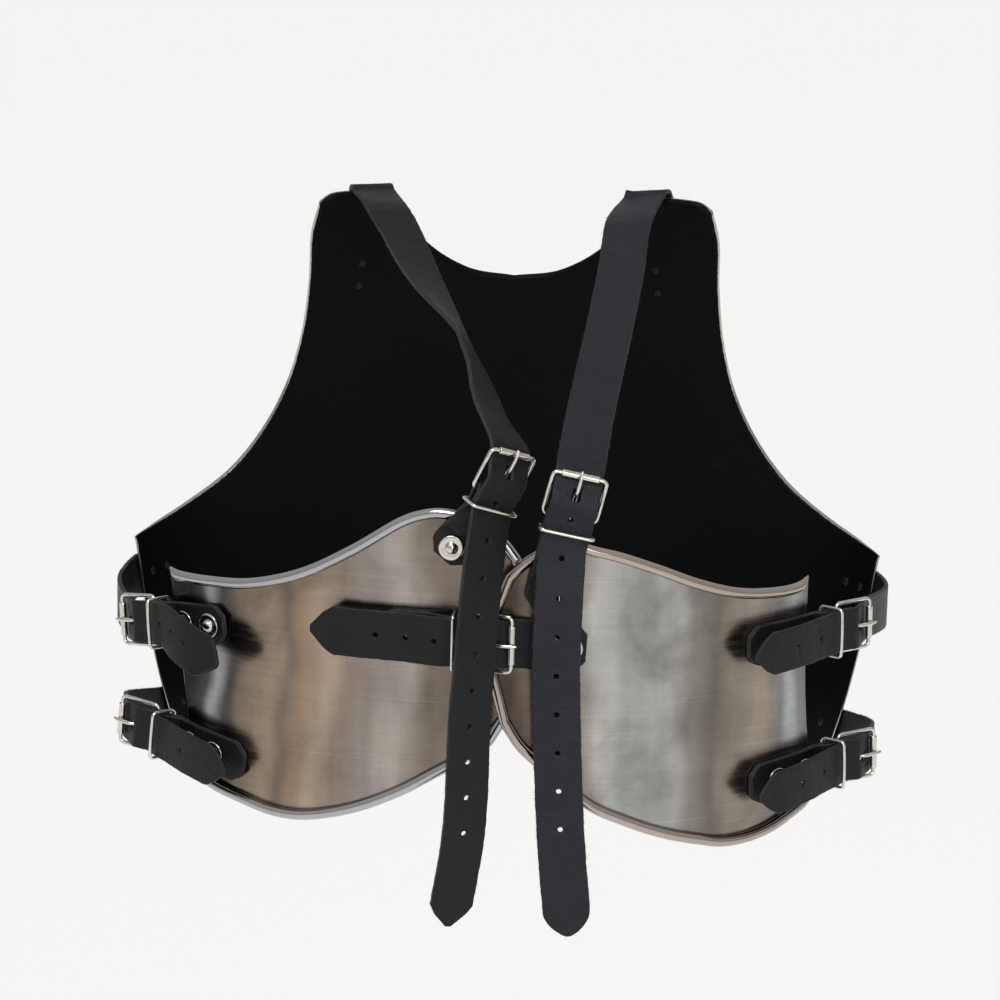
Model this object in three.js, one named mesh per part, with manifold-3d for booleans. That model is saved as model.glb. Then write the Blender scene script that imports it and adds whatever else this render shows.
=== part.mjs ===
// A steel cuirass with leather straps: a breastplate, two back plates that lap at the centre, two shoulder
// straps, a centre strap and two side straps on each side, each with its roller buckle.
// Millimetres, +Z up. The chest faces -Y, the wearer's left is +X. The origin lies on the shoulders, at the
// middle between the tops of the two shoulder tabs.
import * as THREE from 'three';
import { mergeVertices } from 'three/addons/utils/BufferGeometryUtils.js';
import Module from 'manifold-3d';

const wasm = await Module();
wasm.setup();

// Sheet steel
const STEEL = 1.2; // thickness of all three plates
const BEAD_RADIUS = 3; // outside radius of the rolled edges
const BREAST_HALF = 217.5; // half the width of the breastplate under the arms
const BREAST_DROP = 332; // height of the breastplate from the tab tops to the bottom
const BREAST_ARC = 155; // rough radius of the breastplate's section near its sides
const BREAST_DEPTH = 150; // depth of the breastplate's bowl
const EDGE_ROOM = 8.5; // flat steel kept between the rim and the next row of the surface
const LEFT_PLAN = { wide: 223, deep: 176, back: 210, reach: 212.5, top: -139.6, drop: 183.2 };
const RIGHT_PLAN = { wide: 215, deep: 187, back: 217, reach: 198, top: -154.3, drop: 178.5 };

// Leather
const STRAP = 2.6; // thickness of every strap
const FOLD = 1.9; // thickness of one layer of a chape
const LEFT_SHOULDER_WIDTH = 25;
const RIGHT_SHOULDER_WIDTH = 26;
const SIDE_WIDTH = 24;
const CENTRE_WIDTH = 27;
const STRAP_STEP = 3.5; // spacing at which a strap's route is followed
const STRAP_SPAN = 26; // longest straight stretch between two sections
const STRAP_TURN = 0.14; // radians a strap may turn between two sections
const STRAP_END = 15; // stretch at each end where every section is kept
const HOLE_RADIUS = 1.5;
const PRONG_HOLE = { along: 4.2, across: 2.6 }; // half the length and width of the prong's hole

// Buckles
const WIRE = 1.1; // radius of the frame's wire
const ROLLER = 1.9; // outside radius of the roller
const PRONG = 1.1; // radius of the prong
const KEEPER = 1; // radius of the keeper's wire
const FRAME_ROOM = 0.5; // extra room between a strap's edge and the frame
const ROLLER_ROOM = 4.6; // frame's corner, kept clear of the roller at each end
const FRAME_LENGTH = 24; // hinge bar to roller bar
const KEEPER_AT = 8; // hinge bar to keeper, along the chape
const CLEAR = 0.3; // gap between pieces that touch

// Rivets
const WASHER_RADIUS = 7;
const DOME_RADIUS = 3.3;
const DOME_HEIGHT = 2.2;
const WASHER = 0.9;

const steel = { color: 0x9a948c, roughness: 0.32, metalness: 1 };
const leather = { color: 0x15161a, roughness: 0.55, metalness: 0 };
const nickel = { color: 0xc9c5c0, roughness: 0.22, metalness: 1 };

const group = new THREE.Group();

const v3 = (x, y, z) => new THREE.Vector3(x, y, z);
const rad = THREE.MathUtils.degToRad;
const mix = THREE.MathUtils.lerp;

function addPiece(name, geometry, finish) {
  const mesh = new THREE.Mesh(geometry, new THREE.MeshStandardMaterial(finish));
  mesh.name = name;
  group.add(mesh);
}

// Closed meshes

function meshOf(points, triangles) {
  const geometry = new THREE.BufferGeometry();
  const numbers = points.flatMap((p) => [p.x, p.y, p.z]);
  geometry.setAttribute('position', new THREE.Float32BufferAttribute(numbers, 3));
  let volume = 0;
  for (const [a, b, c] of triangles) {
    volume += points[a].dot(v3(0, 0, 0).crossVectors(points[b], points[c]));
  }
  const turned = volume < 0 ? triangles.map(([a, b, c]) => [a, c, b]) : triangles;
  geometry.setIndex(turned.flat());
  return geometry;
}

function solidOf(geometry) {
  const bare = geometry.clone();
  bare.deleteAttribute('normal');
  bare.deleteAttribute('uv');
  const merged = mergeVertices(bare, 1e-4);
  return new wasm.Manifold(new wasm.Mesh({
    numProp: 3,
    vertProperties: new Float32Array(merged.attributes.position.array),
    triVerts: new Uint32Array(merged.index.array),
  }));
}

function geometryOf(solid) {
  const mesh = solid.getMesh();
  const geometry = new THREE.BufferGeometry();
  geometry.setAttribute('position', new THREE.BufferAttribute(new Float32Array(mesh.vertProperties), 3));
  geometry.setIndex(new THREE.BufferAttribute(new Uint32Array(mesh.triVerts), 1));
  return geometry;
}

function cut(geometry, tools) {
  let solid = solidOf(geometry);
  for (const tool of tools) solid = solid.subtract(solidOf(tool));
  return geometryOf(solid);
}

// Rings of points joined into a closed skin: each ring is one section
function skin(rings, closed) {
  const size = rings[0].length;
  const points = rings.flat();
  const triangles = [];
  const last = closed ? rings.length : rings.length - 1;
  for (let i = 0; i < last; i += 1) {
    for (let k = 0; k < size; k += 1) {
      const a = i * size + k;
      const b = i * size + ((k + 1) % size);
      const c = ((i + 1) % rings.length) * size + ((k + 1) % size);
      const d = ((i + 1) % rings.length) * size + k;
      triangles.push([a, b, c], [a, c, d]);
    }
  }
  if (!closed) {
    const end = (rings.length - 1) * size;
    for (let k = 1; k < size - 1; k += 1) {
      triangles.push([0, k + 1, k], [end, end + k, end + k + 1]);
    }
  }
  return meshOf(points, triangles);
}

// A round bar along points, its section turned from the direction "side"
function bar(points, radius, sides, side, closed) {
  const count = points.length;
  const rings = points.map((point, i) => {
    const before = closed ? points[(i + count - 1) % count] : points[Math.max(i - 1, 0)];
    const after = closed ? points[(i + 1) % count] : points[Math.min(i + 1, count - 1)];
    const into = point.clone().sub(before).normalize();
    const out = after.clone().sub(point).normalize();
    const along = into.clone().add(out).normalize();
    const turn = into.lengthSq() > 0 && out.lengthSq() > 0 ? Math.max(into.dot(along), 0.5) : 1;
    const up = side.clone().addScaledVector(along, -side.dot(along)).normalize();
    const across = v3(0, 0, 0).crossVectors(along, up);
    return Array.from({ length: sides }, (_, k) => {
      const angle = (2 * Math.PI * (k + 0.5)) / sides;
      return point.clone()
        .addScaledVector(up, radius * Math.cos(angle))
        .addScaledVector(across, (radius * Math.sin(angle)) / turn);
    });
  });
  return skin(rings, closed);
}

// A value read from a short table whose first column climbs, smooth between its rows
function smooth(rows, column, at) {
  let i = 0;
  while (i < rows.length - 2 && at > rows[i + 1][0]) i += 1;
  const slope = (k) => {
    const a = rows[Math.max(k - 1, 0)];
    const b = rows[Math.min(k + 1, rows.length - 1)];
    return (b[column] - a[column]) / (b[0] - a[0]);
  };
  const width = rows[i + 1][0] - rows[i][0];
  const t = THREE.MathUtils.clamp((at - rows[i][0]) / width, 0, 1);
  const near = (1 + 2 * t) * (1 - t) ** 2 * rows[i][column] + t * t * (3 - 2 * t) * rows[i + 1][column];
  return near + t * (1 - t) ** 2 * width * slope(i) - t * t * (1 - t) * width * slope(i + 1);
}

// Evenly spaced points of a smooth line through table rows of two shares
function stretch(rows, count) {
  const curve = new THREE.CatmullRomCurve3(rows.map(([a, b]) => v3(a, b, 0)), false, 'centripetal');
  curve.arcLengthDivisions = 400;
  return curve.getSpacedPoints(count);
}

function joined(...stretches) {
  return stretches.flatMap((points, i) => (i < stretches.length - 1 ? points.slice(0, -1) : points));
}

const mirrored = (points) => points.map((p) => v3(-p.x, p.y, p.z)).reverse();

// Sheet steel with rolled edges

// Keeps the inner points of a flat layout at least EDGE_ROOM inside its rim, so that the rolled edge has room
function spread(flat, rim, across, down) {
  const area = rim.reduce((sum, k, i) => {
    const [a, b] = [flat[k], flat[rim[(i + 1) % rim.length]]];
    return sum + a.x * b.y - b.x * a.y;
  }, 0);
  const hand = Math.sign(area);
  const pushIn = (p) => {
    let best = { gap: Infinity };
    rim.forEach((k, i) => {
      const a = flat[k];
      const b = flat[rim[(i + 1) % rim.length]];
      const run = b.clone().sub(a);
      const t = THREE.MathUtils.clamp(p.clone().sub(a).dot(run) / run.lengthSq(), 0, 1);
      const foot = a.clone().addScaledVector(run, t);
      const gap = foot.distanceTo(p);
      if (gap < best.gap) best = { gap, foot, inward: v3(-run.y, run.x, 0).normalize().multiplyScalar(hand) };
    });
    const off = p.clone().sub(best.foot);
    const inside = off.dot(best.inward) > 0;
    if (inside && best.gap >= EDGE_ROOM) return p;
    const way = inside && best.gap > 2 ? off.normalize() : best.inward;
    return best.foot.clone().addScaledVector(way, EDGE_ROOM);
  };
  for (let round = 0; round < 12; round += 1) {
    for (let j = 1; j < down; j += 1) {
      for (let i = 1; i < across; i += 1) {
        const k = j * (across + 1) + i;
        const mean = flat[k - 1].clone().add(flat[k + 1]).add(flat[k - across - 1]).add(flat[k + across + 1]);
        flat[k] = pushIn(flat[k].clone().lerp(mean.multiplyScalar(0.25), 0.35)).setZ(0);
      }
    }
  }
}

// "place" takes a point of the flat layout to its place and outward normal on the plate. The four sides are
// points of the layout; z of a side's point tells how far its edge is rolled, from 0 (raw) to 1 (full bead).
function plate(sides, place) {
  const { top, bottom, left, right } = sides;
  const across = top.length - 1;
  const down = left.length - 1;
  const flat = [];
  for (let j = 0; j <= down; j += 1) {
    for (let i = 0; i <= across; i += 1) {
      const u = i / across;
      const v = j / down;
      const point = v3(0, 0, 0)
        .addScaledVector(top[i], 1 - v).addScaledVector(bottom[i], v)
        .addScaledVector(left[j], 1 - u).addScaledVector(right[j], u)
        .addScaledVector(top[0], -(1 - u) * (1 - v)).addScaledVector(top[across], -u * (1 - v))
        .addScaledVector(bottom[0], -(1 - u) * v).addScaledVector(bottom[across], -u * v);
      flat.push(point.setZ(0));
    }
  }
  const at = (i, j) => j * (across + 1) + i;
  const rim = [];
  for (let i = 0; i < across; i += 1) rim.push({ i, j: 0, roll: top[i].z, inner: at(Math.max(i, 1), 1) });
  for (let j = 0; j < down; j += 1) {
    rim.push({ i: across, j, roll: right[j].z, inner: at(across - 1, Math.max(j, 1)) });
  }
  for (let i = across; i > 0; i -= 1) {
    rim.push({ i, j: down, roll: bottom[i].z, inner: at(Math.min(i, across - 1), down - 1) });
  }
  for (let j = down; j > 0; j -= 1) {
    rim.push({ i: 0, j, roll: left[j].z, inner: at(1, Math.min(j, down - 1)) });
  }
  spread(flat, rim.map((edge) => at(edge.i, edge.j)), across, down);
  const grid = flat.map((p) => place(p.x, p.y));

  const steps = 4;
  const points = grid.map((spot) => spot.point.clone().addScaledVector(spot.normal, -STEEL / 2));
  const outer = grid.map((spot) => spot.point.clone().addScaledVector(spot.normal, STEEL / 2));
  const beads = [];
  rim.forEach((edge, k) => {
    const spot = grid[at(edge.i, edge.j)];
    const before = rim[(k + rim.length - 1) % rim.length];
    const after = rim[(k + 1) % rim.length];
    const into = spot.point.clone().sub(grid[at(before.i, before.j)].point).normalize();
    const onward = grid[at(after.i, after.j)].point.clone().sub(spot.point).normalize();
    const along = into.clone().add(onward).normalize();
    const out = v3(0, 0, 0).crossVectors(along, spot.normal).normalize();
    if (out.dot(grid[edge.inner].point.clone().sub(spot.point)) > 0) out.negate();
    const radius = mix(STEEL / 2, BEAD_RADIUS, edge.roll);
    const foot = spot.point.clone().addScaledVector(out, -radius);
    const centre = foot.clone().addScaledVector(spot.normal, radius - STEEL / 2);
    const start = -Math.PI / 2;
    const end = Math.PI + Math.asin((radius - STEEL) / radius);
    const ring = Array.from({ length: steps + 1 }, (_, s) => {
      const angle = mix(start, end, s / steps);
      return centre.clone()
        .addScaledVector(out, radius * Math.cos(angle))
        .addScaledVector(spot.normal, radius * Math.sin(angle));
    });
    points[at(edge.i, edge.j)] = ring[0];
    outer[at(edge.i, edge.j)] = ring[steps];
    beads.push(ring.slice(1, steps));
  });

  const half = points.length;
  points.push(...outer);
  const first = points.length;
  points.push(...beads.flat());
  const triangles = [];
  for (let j = 0; j < down; j += 1) {
    for (let i = 0; i < across; i += 1) {
      const [a, b, c, d] = [at(i, j), at(i + 1, j), at(i + 1, j + 1), at(i, j + 1)];
      triangles.push([a, c, b], [a, d, c], [half + a, half + b, half + c], [half + a, half + c, half + d]);
    }
  }
  const beadPoint = (k, s) => {
    const edge = rim[k % rim.length];
    if (s === 0) return at(edge.i, edge.j);
    if (s === steps) return half + at(edge.i, edge.j);
    return first + (k % rim.length) * (steps - 1) + s - 1;
  };
  for (let k = 0; k < rim.length; k += 1) {
    for (let s = 0; s < steps; s += 1) {
      const [a, b] = [beadPoint(k, s), beadPoint(k + 1, s)];
      const [c, d] = [beadPoint(k + 1, s + 1), beadPoint(k, s + 1)];
      triangles.push([a, b, c], [a, c, d]);
    }
  }
  return meshOf(points, triangles);
}

// How far the edge of a side is rolled at each of its points: full, with a short run-out at raw ends
function rolled(points, rawStart, rawEnd) {
  const last = points.length - 1;
  return points.map((p, i) => {
    const runOut = [0, 0.75, 1];
    const fromStart = rawStart ? runOut[Math.min(i, 2)] : 1;
    const fromEnd = rawEnd ? runOut[Math.min(last - i, 2)] : 1;
    return v3(p.x, p.y, Math.min(fromStart, fromEnd));
  });
}

const raw = (points) => points.map((p) => v3(p.x, p.y, 0));

// Breastplate

// Sections from the bottom up. Columns: height, half width, front and back of the bowl
const BREAST_SECTIONS = [
  [-1.06, 0.952, -0.49, 0.8], [-0.904, 0.977, -0.587, 0.72], [-0.753, 1.007, -0.627, 0.567],
  [-0.602, 1.016, -0.607, 0.407], [-0.452, 0.993, -0.547, 0.467], [-0.301, 0.943, -0.44, 0.533],
  [-0.163, 0.851, -0.3, 0.567], [0, 0.736, -0.12, 0.493], [0.03, 0.713, -0.08, 0.467],
];
const breastWide = (z) => BREAST_HALF * smooth(BREAST_SECTIONS, 1, z / BREAST_DROP);

// The breastplate's middle surface: "turn" is the angle round the body, 0 at the chest's middle
function onBreast(turn, z, off) {
  const spot = (a, height) => {
    const front = BREAST_DEPTH * smooth(BREAST_SECTIONS, 2, height / BREAST_DROP);
    const back = BREAST_DEPTH * smooth(BREAST_SECTIONS, 3, height / BREAST_DROP);
    return v3(breastWide(height) * Math.sin(a), back - (back - front) * Math.cos(a), height);
  };
  const step = 0.002;
  const round = spot(turn + step, z).sub(spot(turn - step, z));
  const up = spot(turn, z + 1).sub(spot(turn, z - 1));
  const normal = v3(0, 0, 0).crossVectors(round, up).normalize();
  return { point: spot(turn, z).addScaledVector(normal, off), normal };
}

const breastTurn = (x, z) => Math.asin(THREE.MathUtils.clamp(x / breastWide(z), -0.999, 0.999));

// Outline of the wearer's left half. Columns: share of the half width, share of the drop
const TAB_TOP = [[0.519, -0.018], [0.49, -0.004], [0.446, 0], [0.368, 0], [0.328, -0.004]];
const NECKLINE = [[0.328, -0.004], [0.3, -0.036], [0.237, -0.1], [0.124, -0.15], [0, -0.164]];
const ARMHOLE = [
  [0.519, -0.018], [0.541, -0.075], [0.549, -0.163], [0.57, -0.265], [0.611, -0.364],
  [0.674, -0.449], [0.763, -0.523], [0.876, -0.574], [0.952, -0.595], [1, -0.602],
];
const BREAST_SIDE = [[1, -0.602], [0.979, -0.696], [0.949, -0.8], [0.88, -0.978]];
const BREAST_BOTTOM = [[0.88, -0.978], [0.45, -0.995], [0, -1], [-0.45, -0.995], [-0.88, -0.978]];

function buildBreastplate() {
  const neckHalf = stretch(NECKLINE, 10);
  const tab = stretch(TAB_TOP, 4);
  const topShare = joined(tab, neckHalf, mirrored(neckHalf), mirrored(tab));
  const side = joined(stretch(ARMHOLE, 9), stretch(BREAST_SIDE, 5));
  const rows = side.length;
  const edge = side.map((p, i) => v3(p.x, p.y, i < 8 ? 1 : [0.75, 0][Math.min(i - 8, 1)]));
  edge[rows - 1].z = 0;
  const bottom = rolled(stretch(BREAST_BOTTOM, topShare.length - 1), true, true);
  const lay = (p) => {
    const z = p.y * BREAST_DROP;
    return v3(breastTurn(p.x * BREAST_HALF, z) * BREAST_ARC, z, p.z);
  };
  const top = topShare.map((p) => v3(p.x, p.y, 1));
  return plate({
    top: top.map(lay),
    bottom: bottom.map(lay),
    left: edge.map(lay),
    right: edge.map((p) => lay(v3(-p.x, p.y, p.z))),
  }, (arc, z) => onBreast(arc / BREAST_ARC, z, 0));
}

// Back plates

// The plan of a back plate is part of an ellipse, run on straight past the plate's side edge
function planOf(size) {
  const steps = 600;
  const table = [0];
  const angle = (k) => (k / steps) * rad(75);
  const speed = (a) => Math.hypot(size.wide * Math.cos(a), size.deep * Math.sin(a));
  for (let k = 1; k <= steps; k += 1) {
    table.push(table[k - 1] + (speed((angle(k) + angle(k - 1)) / 2) * rad(75)) / steps);
  }
  const angleAt = (arc) => {
    let k = 1;
    while (k < steps && table[k] < arc) k += 1;
    return angle(k - 1) + ((arc - table[k - 1]) / (table[k] - table[k - 1])) * rad(75 / steps);
  };
  const endAngle = angleAt(size.reach);
  return (arc, z, off) => {
    const sign = arc < 0 ? -1 : 1;
    const inside = Math.min(Math.abs(arc), size.reach);
    const a = inside < size.reach ? angleAt(inside) : endAngle;
    const run = v3(size.wide * Math.cos(a), -size.deep * Math.sin(a), 0).normalize();
    const normal = v3(-run.y, run.x, 0);
    const point = v3(size.wide * Math.sin(a), size.back - size.deep + size.deep * Math.cos(a), z)
      .addScaledVector(run, Math.abs(arc) - inside)
      .addScaledVector(normal, off);
    return { point: v3(sign * point.x, point.y, point.z), normal: v3(sign * normal.x, normal.y, 0) };
  };
}
const onLeft = planOf(LEFT_PLAN);
const onRight = planOf(RIGHT_PLAN);

// Outlines. Columns: share of the plate's reach round the body, share of its drop below its top
const LEFT_OUTLINE = {
  top: [
    [1, 0.303], [0.936, 0.302], [0.821, 0.293], [0.69, 0.274], [0.539, 0.219], [0.402, 0.132],
    [0.273, 0.034], [0.221, 0.009], [0.172, 0], [0.094, 0.016], [0.007, 0.079], [-0.033, 0.135],
  ],
  lobe: [[-0.033, 0.135], [-0.078, 0.26], [-0.092, 0.389], [-0.07, 0.53], [0, 0.667]],
  bottom: [
    [0.892, 0.923], [0.807, 0.959], [0.713, 0.981], [0.619, 1], [0.529, 0.999], [0.391, 0.959],
    [0.259, 0.89], [0.155, 0.817], [0.035, 0.727], [0, 0.667],
  ],
  side: [[1, 0.303], [0.935, 0.62], [0.892, 0.923]],
};
const RIGHT_OUTLINE = {
  top: [
    [0.942, 0.178], [0.891, 0.189], [0.813, 0.192], [0.672, 0.176], [0.543, 0.135], [0.422, 0.082],
    [0.306, 0.036], [0.25, 0.02], [0.182, 0], [0.114, 0.003], [0.086, 0.024], [0.035, 0.063], [-0.003, 0.107],
  ],
  lobe: [
    [-0.003, 0.107], [-0.018, 0.148], [-0.048, 0.248], [-0.058, 0.358], [-0.028, 0.494], [-0.008, 0.574],
  ],
  bottom: [
    [1, 0.907], [0.912, 0.946], [0.813, 0.984], [0.722, 1], [0.639, 0.999], [0.573, 0.984], [0.449, 0.947],
    [0.331, 0.896], [0.245, 0.851], [0.162, 0.779], [0.088, 0.706], [0.035, 0.648], [-0.008, 0.574],
  ],
  side: [[0.942, 0.178], [0.95, 0.545], [1, 0.907]],
};

function buildBackPlate(outline, size, place, hand) {
  const lay = (p) => v3(hand * p.x * size.reach, size.top - p.y * size.drop, p.z);
  const across = 20;
  const down = 7;
  return plate({
    top: rolled(stretch(outline.top, across), true, false).map(lay),
    bottom: rolled(stretch(outline.bottom, across), true, false).map(lay),
    left: raw(stretch(outline.side, down)).map(lay),
    right: rolled(stretch(outline.lobe, down), false, false).map(lay),
  }, (arc, z) => place(arc, z, 0));
}

// Buckle sets

// Each set lies on the plan of its back plate. Columns by name: the hinge bar's place round the body and its
// height, the way the strap runs over it, how far the chape is lifted off the plate at the bar, the tilt of
// the frame, its turn about the strap and where that turn fades out, how far the strap stands off inside the
// keeper, the chape's length, its slant, and the distances of its rivets from the bar.
const SETS = {
  shoulder_left: {
    on: onLeft, arc: 7.5, z: -127.8, heading: -70, lift: 6.6, tilt: 8, yaw: 33, yawEnd: [6, 24], puff: 2.4,
    width: LEFT_SHOULDER_WIDTH, chape: 46, slant: -0.354, liftEnd: [25, 32], rivets: [38.5],
  },
  shoulder_right: {
    on: onRight, arc: -31.5, z: -139.9, heading: -78, lift: 5.2, tilt: 8, yaw: 0, yawEnd: [6, 24], puff: 2.4,
    width: RIGHT_SHOULDER_WIDTH, chape: 54, slant: 0, liftEnd: [33, 42], rivets: [],
  },
  centre: {
    on: onLeft, arc: 18.5, z: -210.5, heading: 0, lift: 6, tilt: 14, yaw: 0, yawEnd: [6, 24], puff: 2.4,
    width: CENTRE_WIDTH, chape: 50, slant: 0, liftEnd: [12, 24], rivets: [],
  },
  side_left_upper: {
    on: onLeft, arc: 215, z: -226, heading: 173, lift: 3.4, tilt: 16, yaw: 0, yawEnd: [6, 24], puff: 4.6,
    width: SIDE_WIDTH, chape: 52, slant: 0, liftEnd: [9, 15], rivets: [22.5, 42],
  },
  side_left_lower: {
    on: onLeft, arc: 213, z: -288.5, heading: 187, lift: 3.4, tilt: 24, yaw: 0, yawEnd: [6, 24], puff: 4,
    width: SIDE_WIDTH, chape: 65, slant: 0, liftEnd: [9, 15], rivets: [],
  },
  side_right_upper: {
    on: onRight, arc: -204, z: -218, heading: -2, lift: 3.4, tilt: 16, yaw: 0, yawEnd: [6, 24], puff: 4,
    width: SIDE_WIDTH, chape: 64, slant: 0, liftEnd: [9, 15], rivets: [],
  },
  side_right_lower: {
    on: onRight, arc: -212, z: -295.5, heading: -4, lift: 3.4, tilt: 22, yaw: 0, yawEnd: [6, 24], puff: 4,
    width: SIDE_WIDTH, chape: 67, slant: 0, liftEnd: [9, 15], rivets: [],
  },
};

const SEAT = STEEL / 2 + 1.5 * CLEAR; // underside of leather that lies on a plate
const SLANT_FROM = 12; // a slanted chape runs straight this far from the hinge bar
const NOSE = WIRE + CLEAR + FOLD; // outside radius of the chape where it wraps the hinge bar
const BAR_UP = SEAT + NOSE; // hinge bar above the plate's middle, before the lift
const SLAB = 2 * FOLD; // thickness of the folded chape

const barUp = (set) => BAR_UP + set.lift;

// Turn of a set about the strap's direction, which fades out where the chape meets the plate
const turnAt = (set, along) => rad(set.yaw) * (1 - THREE.MathUtils.smoothstep(along, ...set.yawEnd));

// Takes (along the strap, across it, off the plate) to its place
function localTo(set) {
  const c = Math.cos(rad(set.heading));
  const s = Math.sin(rad(set.heading));
  return (along, aside, off) => {
    const turn = turnAt(set, along);
    const above = off - barUp(set);
    const across = aside * Math.cos(turn) + above * Math.sin(turn);
    const up = barUp(set) - aside * Math.sin(turn) + above * Math.cos(turn);
    return set.on(set.arc + along * c + across * s, set.z + along * s - across * c, up).point;
  };
}

// A rigid piece keeps its shape: it is placed by the flat frame at one spot of the plan
function rigidTo(set, at) {
  const place = localTo(set);
  const origin = place(at, 0, barUp(set));
  const s = place(at + 0.5, 0, barUp(set)).sub(place(at - 0.5, 0, barUp(set))).normalize();
  const plain = set.on(set.arc + at * Math.cos(rad(set.heading)), set.z, 0).normal;
  const turn = turnAt(set, at);
  const w = v3(0, 0, 0).crossVectors(plain, s).normalize();
  const n = plain.clone().multiplyScalar(Math.cos(turn)).addScaledVector(w, Math.sin(turn));
  w.multiplyScalar(Math.cos(turn)).addScaledVector(plain, -Math.sin(turn));
  return (along, aside, off) => origin.clone().addScaledVector(s, along - at)
    .addScaledVector(w, aside).addScaledVector(n, off - barUp(set));
}

function liftAt(set, along) {
  const [from, to] = set.liftEnd;
  return set.lift * (1 - THREE.MathUtils.smoothstep(along, from, to));
}

const frameHalf = (set) => set.width / 2 + CLEAR + FRAME_ROOM + WIRE;
const rollerAt = (set) => ({
  along: -FRAME_LENGTH * Math.cos(rad(set.tilt)),
  off: barUp(set) + FRAME_LENGTH * Math.sin(rad(set.tilt)),
});

function buildFrame(set) {
  const place = rigidTo(set, 0);
  const half = frameHalf(set);
  const corner = 2.2;
  const plan = [
    [0, half - corner], [0.3 * corner, half - 0.3 * corner], [corner, half],
    [FRAME_LENGTH - corner, half], [FRAME_LENGTH - 0.3 * corner, half - 0.3 * corner],
    [FRAME_LENGTH, half - corner],
  ];
  const loop = [...plan, ...plan.map(([d, w]) => [d, -w]).reverse()];
  const tilt = rad(set.tilt);
  const points = loop.map(([d, w]) => place(-d * Math.cos(tilt), w, barUp(set) + d * Math.sin(tilt)));
  const up = place(Math.sin(tilt), 0, Math.cos(tilt)).sub(place(0, 0, 0));
  return bar(points, WIRE, 5, up, true);
}

function buildRoller(set) {
  const place = rigidTo(set, 0);
  const { along, off } = rollerAt(set);
  const half = frameHalf(set) - ROLLER_ROOM;
  const sides = 8;
  const ring = (w, radius) => Array.from({ length: sides }, (_, k) => {
    const angle = (2 * Math.PI * (k + 0.5)) / sides;
    return place(along + radius * Math.cos(angle), w, off + radius * Math.sin(angle));
  });
  const bore = WIRE + CLEAR;
  const rings = [ring(-half, bore), ring(-half, ROLLER), ring(half, ROLLER), ring(half, bore)];
  return skin(rings, true);
}

// Takes (distance from the hinge bar, height over the frame) to (along, off)
function inFrame(set, distance, height) {
  const c = Math.cos(rad(set.tilt));
  const s = Math.sin(rad(set.tilt));
  return [height * s - distance * c, barUp(set) + distance * s + height * c];
}

// The strap's middle over the set, from under the roller to past the keeper
const AT_BAR = 3;
const AT_KEEPER = 4;

function strapOver(set) {
  const high = NOSE + CLEAR + STRAP / 2;
  const slabTop = SEAT + SLAB + CLEAR + STRAP / 2 + set.lift;
  return [
    inFrame(set, FRAME_LENGTH + 0.3, -ROLLER - CLEAR - STRAP / 2 - 1.5),
    inFrame(set, FRAME_LENGTH * 0.71, 0.6),
    inFrame(set, FRAME_LENGTH * 0.42, high + 1),
    [0, barUp(set) + high + 0.5],
    [KEEPER_AT, slabTop + set.puff],
    [KEEPER_AT * 2.1, slabTop + set.puff + (set.yaw ? 3 : 0.4)],
  ];
}

const PRONG_CROSSES = [13.8, 2.9]; // where the prong comes through the strap, in the frame

// A prong: an eye round the hinge bar, a run under the strap, up through its hole and onto the roller
function buildProng(set) {
  const place = rigidTo(set, 0);
  const up = barUp(set);
  const round = WIRE + CLEAR + PRONG;
  const rest = ROLLER + CLEAR + PRONG;
  const path = [
    [round * 0.7, up - round * 0.75], [round, up], [round * 0.7, up + round * 0.75], [-0.3, up + round],
    inFrame(set, 5, 2.2), inFrame(set, 9, 1.9), inFrame(set, 13, 2.6), inFrame(set, 17, 3.7),
    inFrame(set, FRAME_LENGTH, rest + 0.1), inFrame(set, FRAME_LENGTH + ROLLER + 1.2, rest * 0.72),
  ];
  return bar(path.map(([s, n]) => place(s, 0, n)), PRONG, 5, place(0, 1, 0).sub(place(0, 0, 0)), false);
}

function buildKeeper(set) {
  const place = rigidTo(set, KEEPER_AT);
  const low = SEAT + set.lift - CLEAR - KEEPER - 0.25;
  const high = strapOver(set)[AT_KEEPER][1] + STRAP / 2 + CLEAR + KEEPER + 0.9;
  const half = set.width / 2 + 2 * CLEAR + KEEPER;
  const bevel = 1.6;
  const loop = [
    [half, low + bevel], [half, high - bevel], [half - bevel, high], [-half + bevel, high],
    [-half, high - bevel], [-half, low + bevel], [-half + bevel, low], [half - bevel, low],
  ];
  const points = loop.map(([w, n]) => place(KEEPER_AT, w, n));
  return bar(points, KEEPER, 5, place(1, 0, 0).sub(place(0, 0, 0)), true);
}

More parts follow.
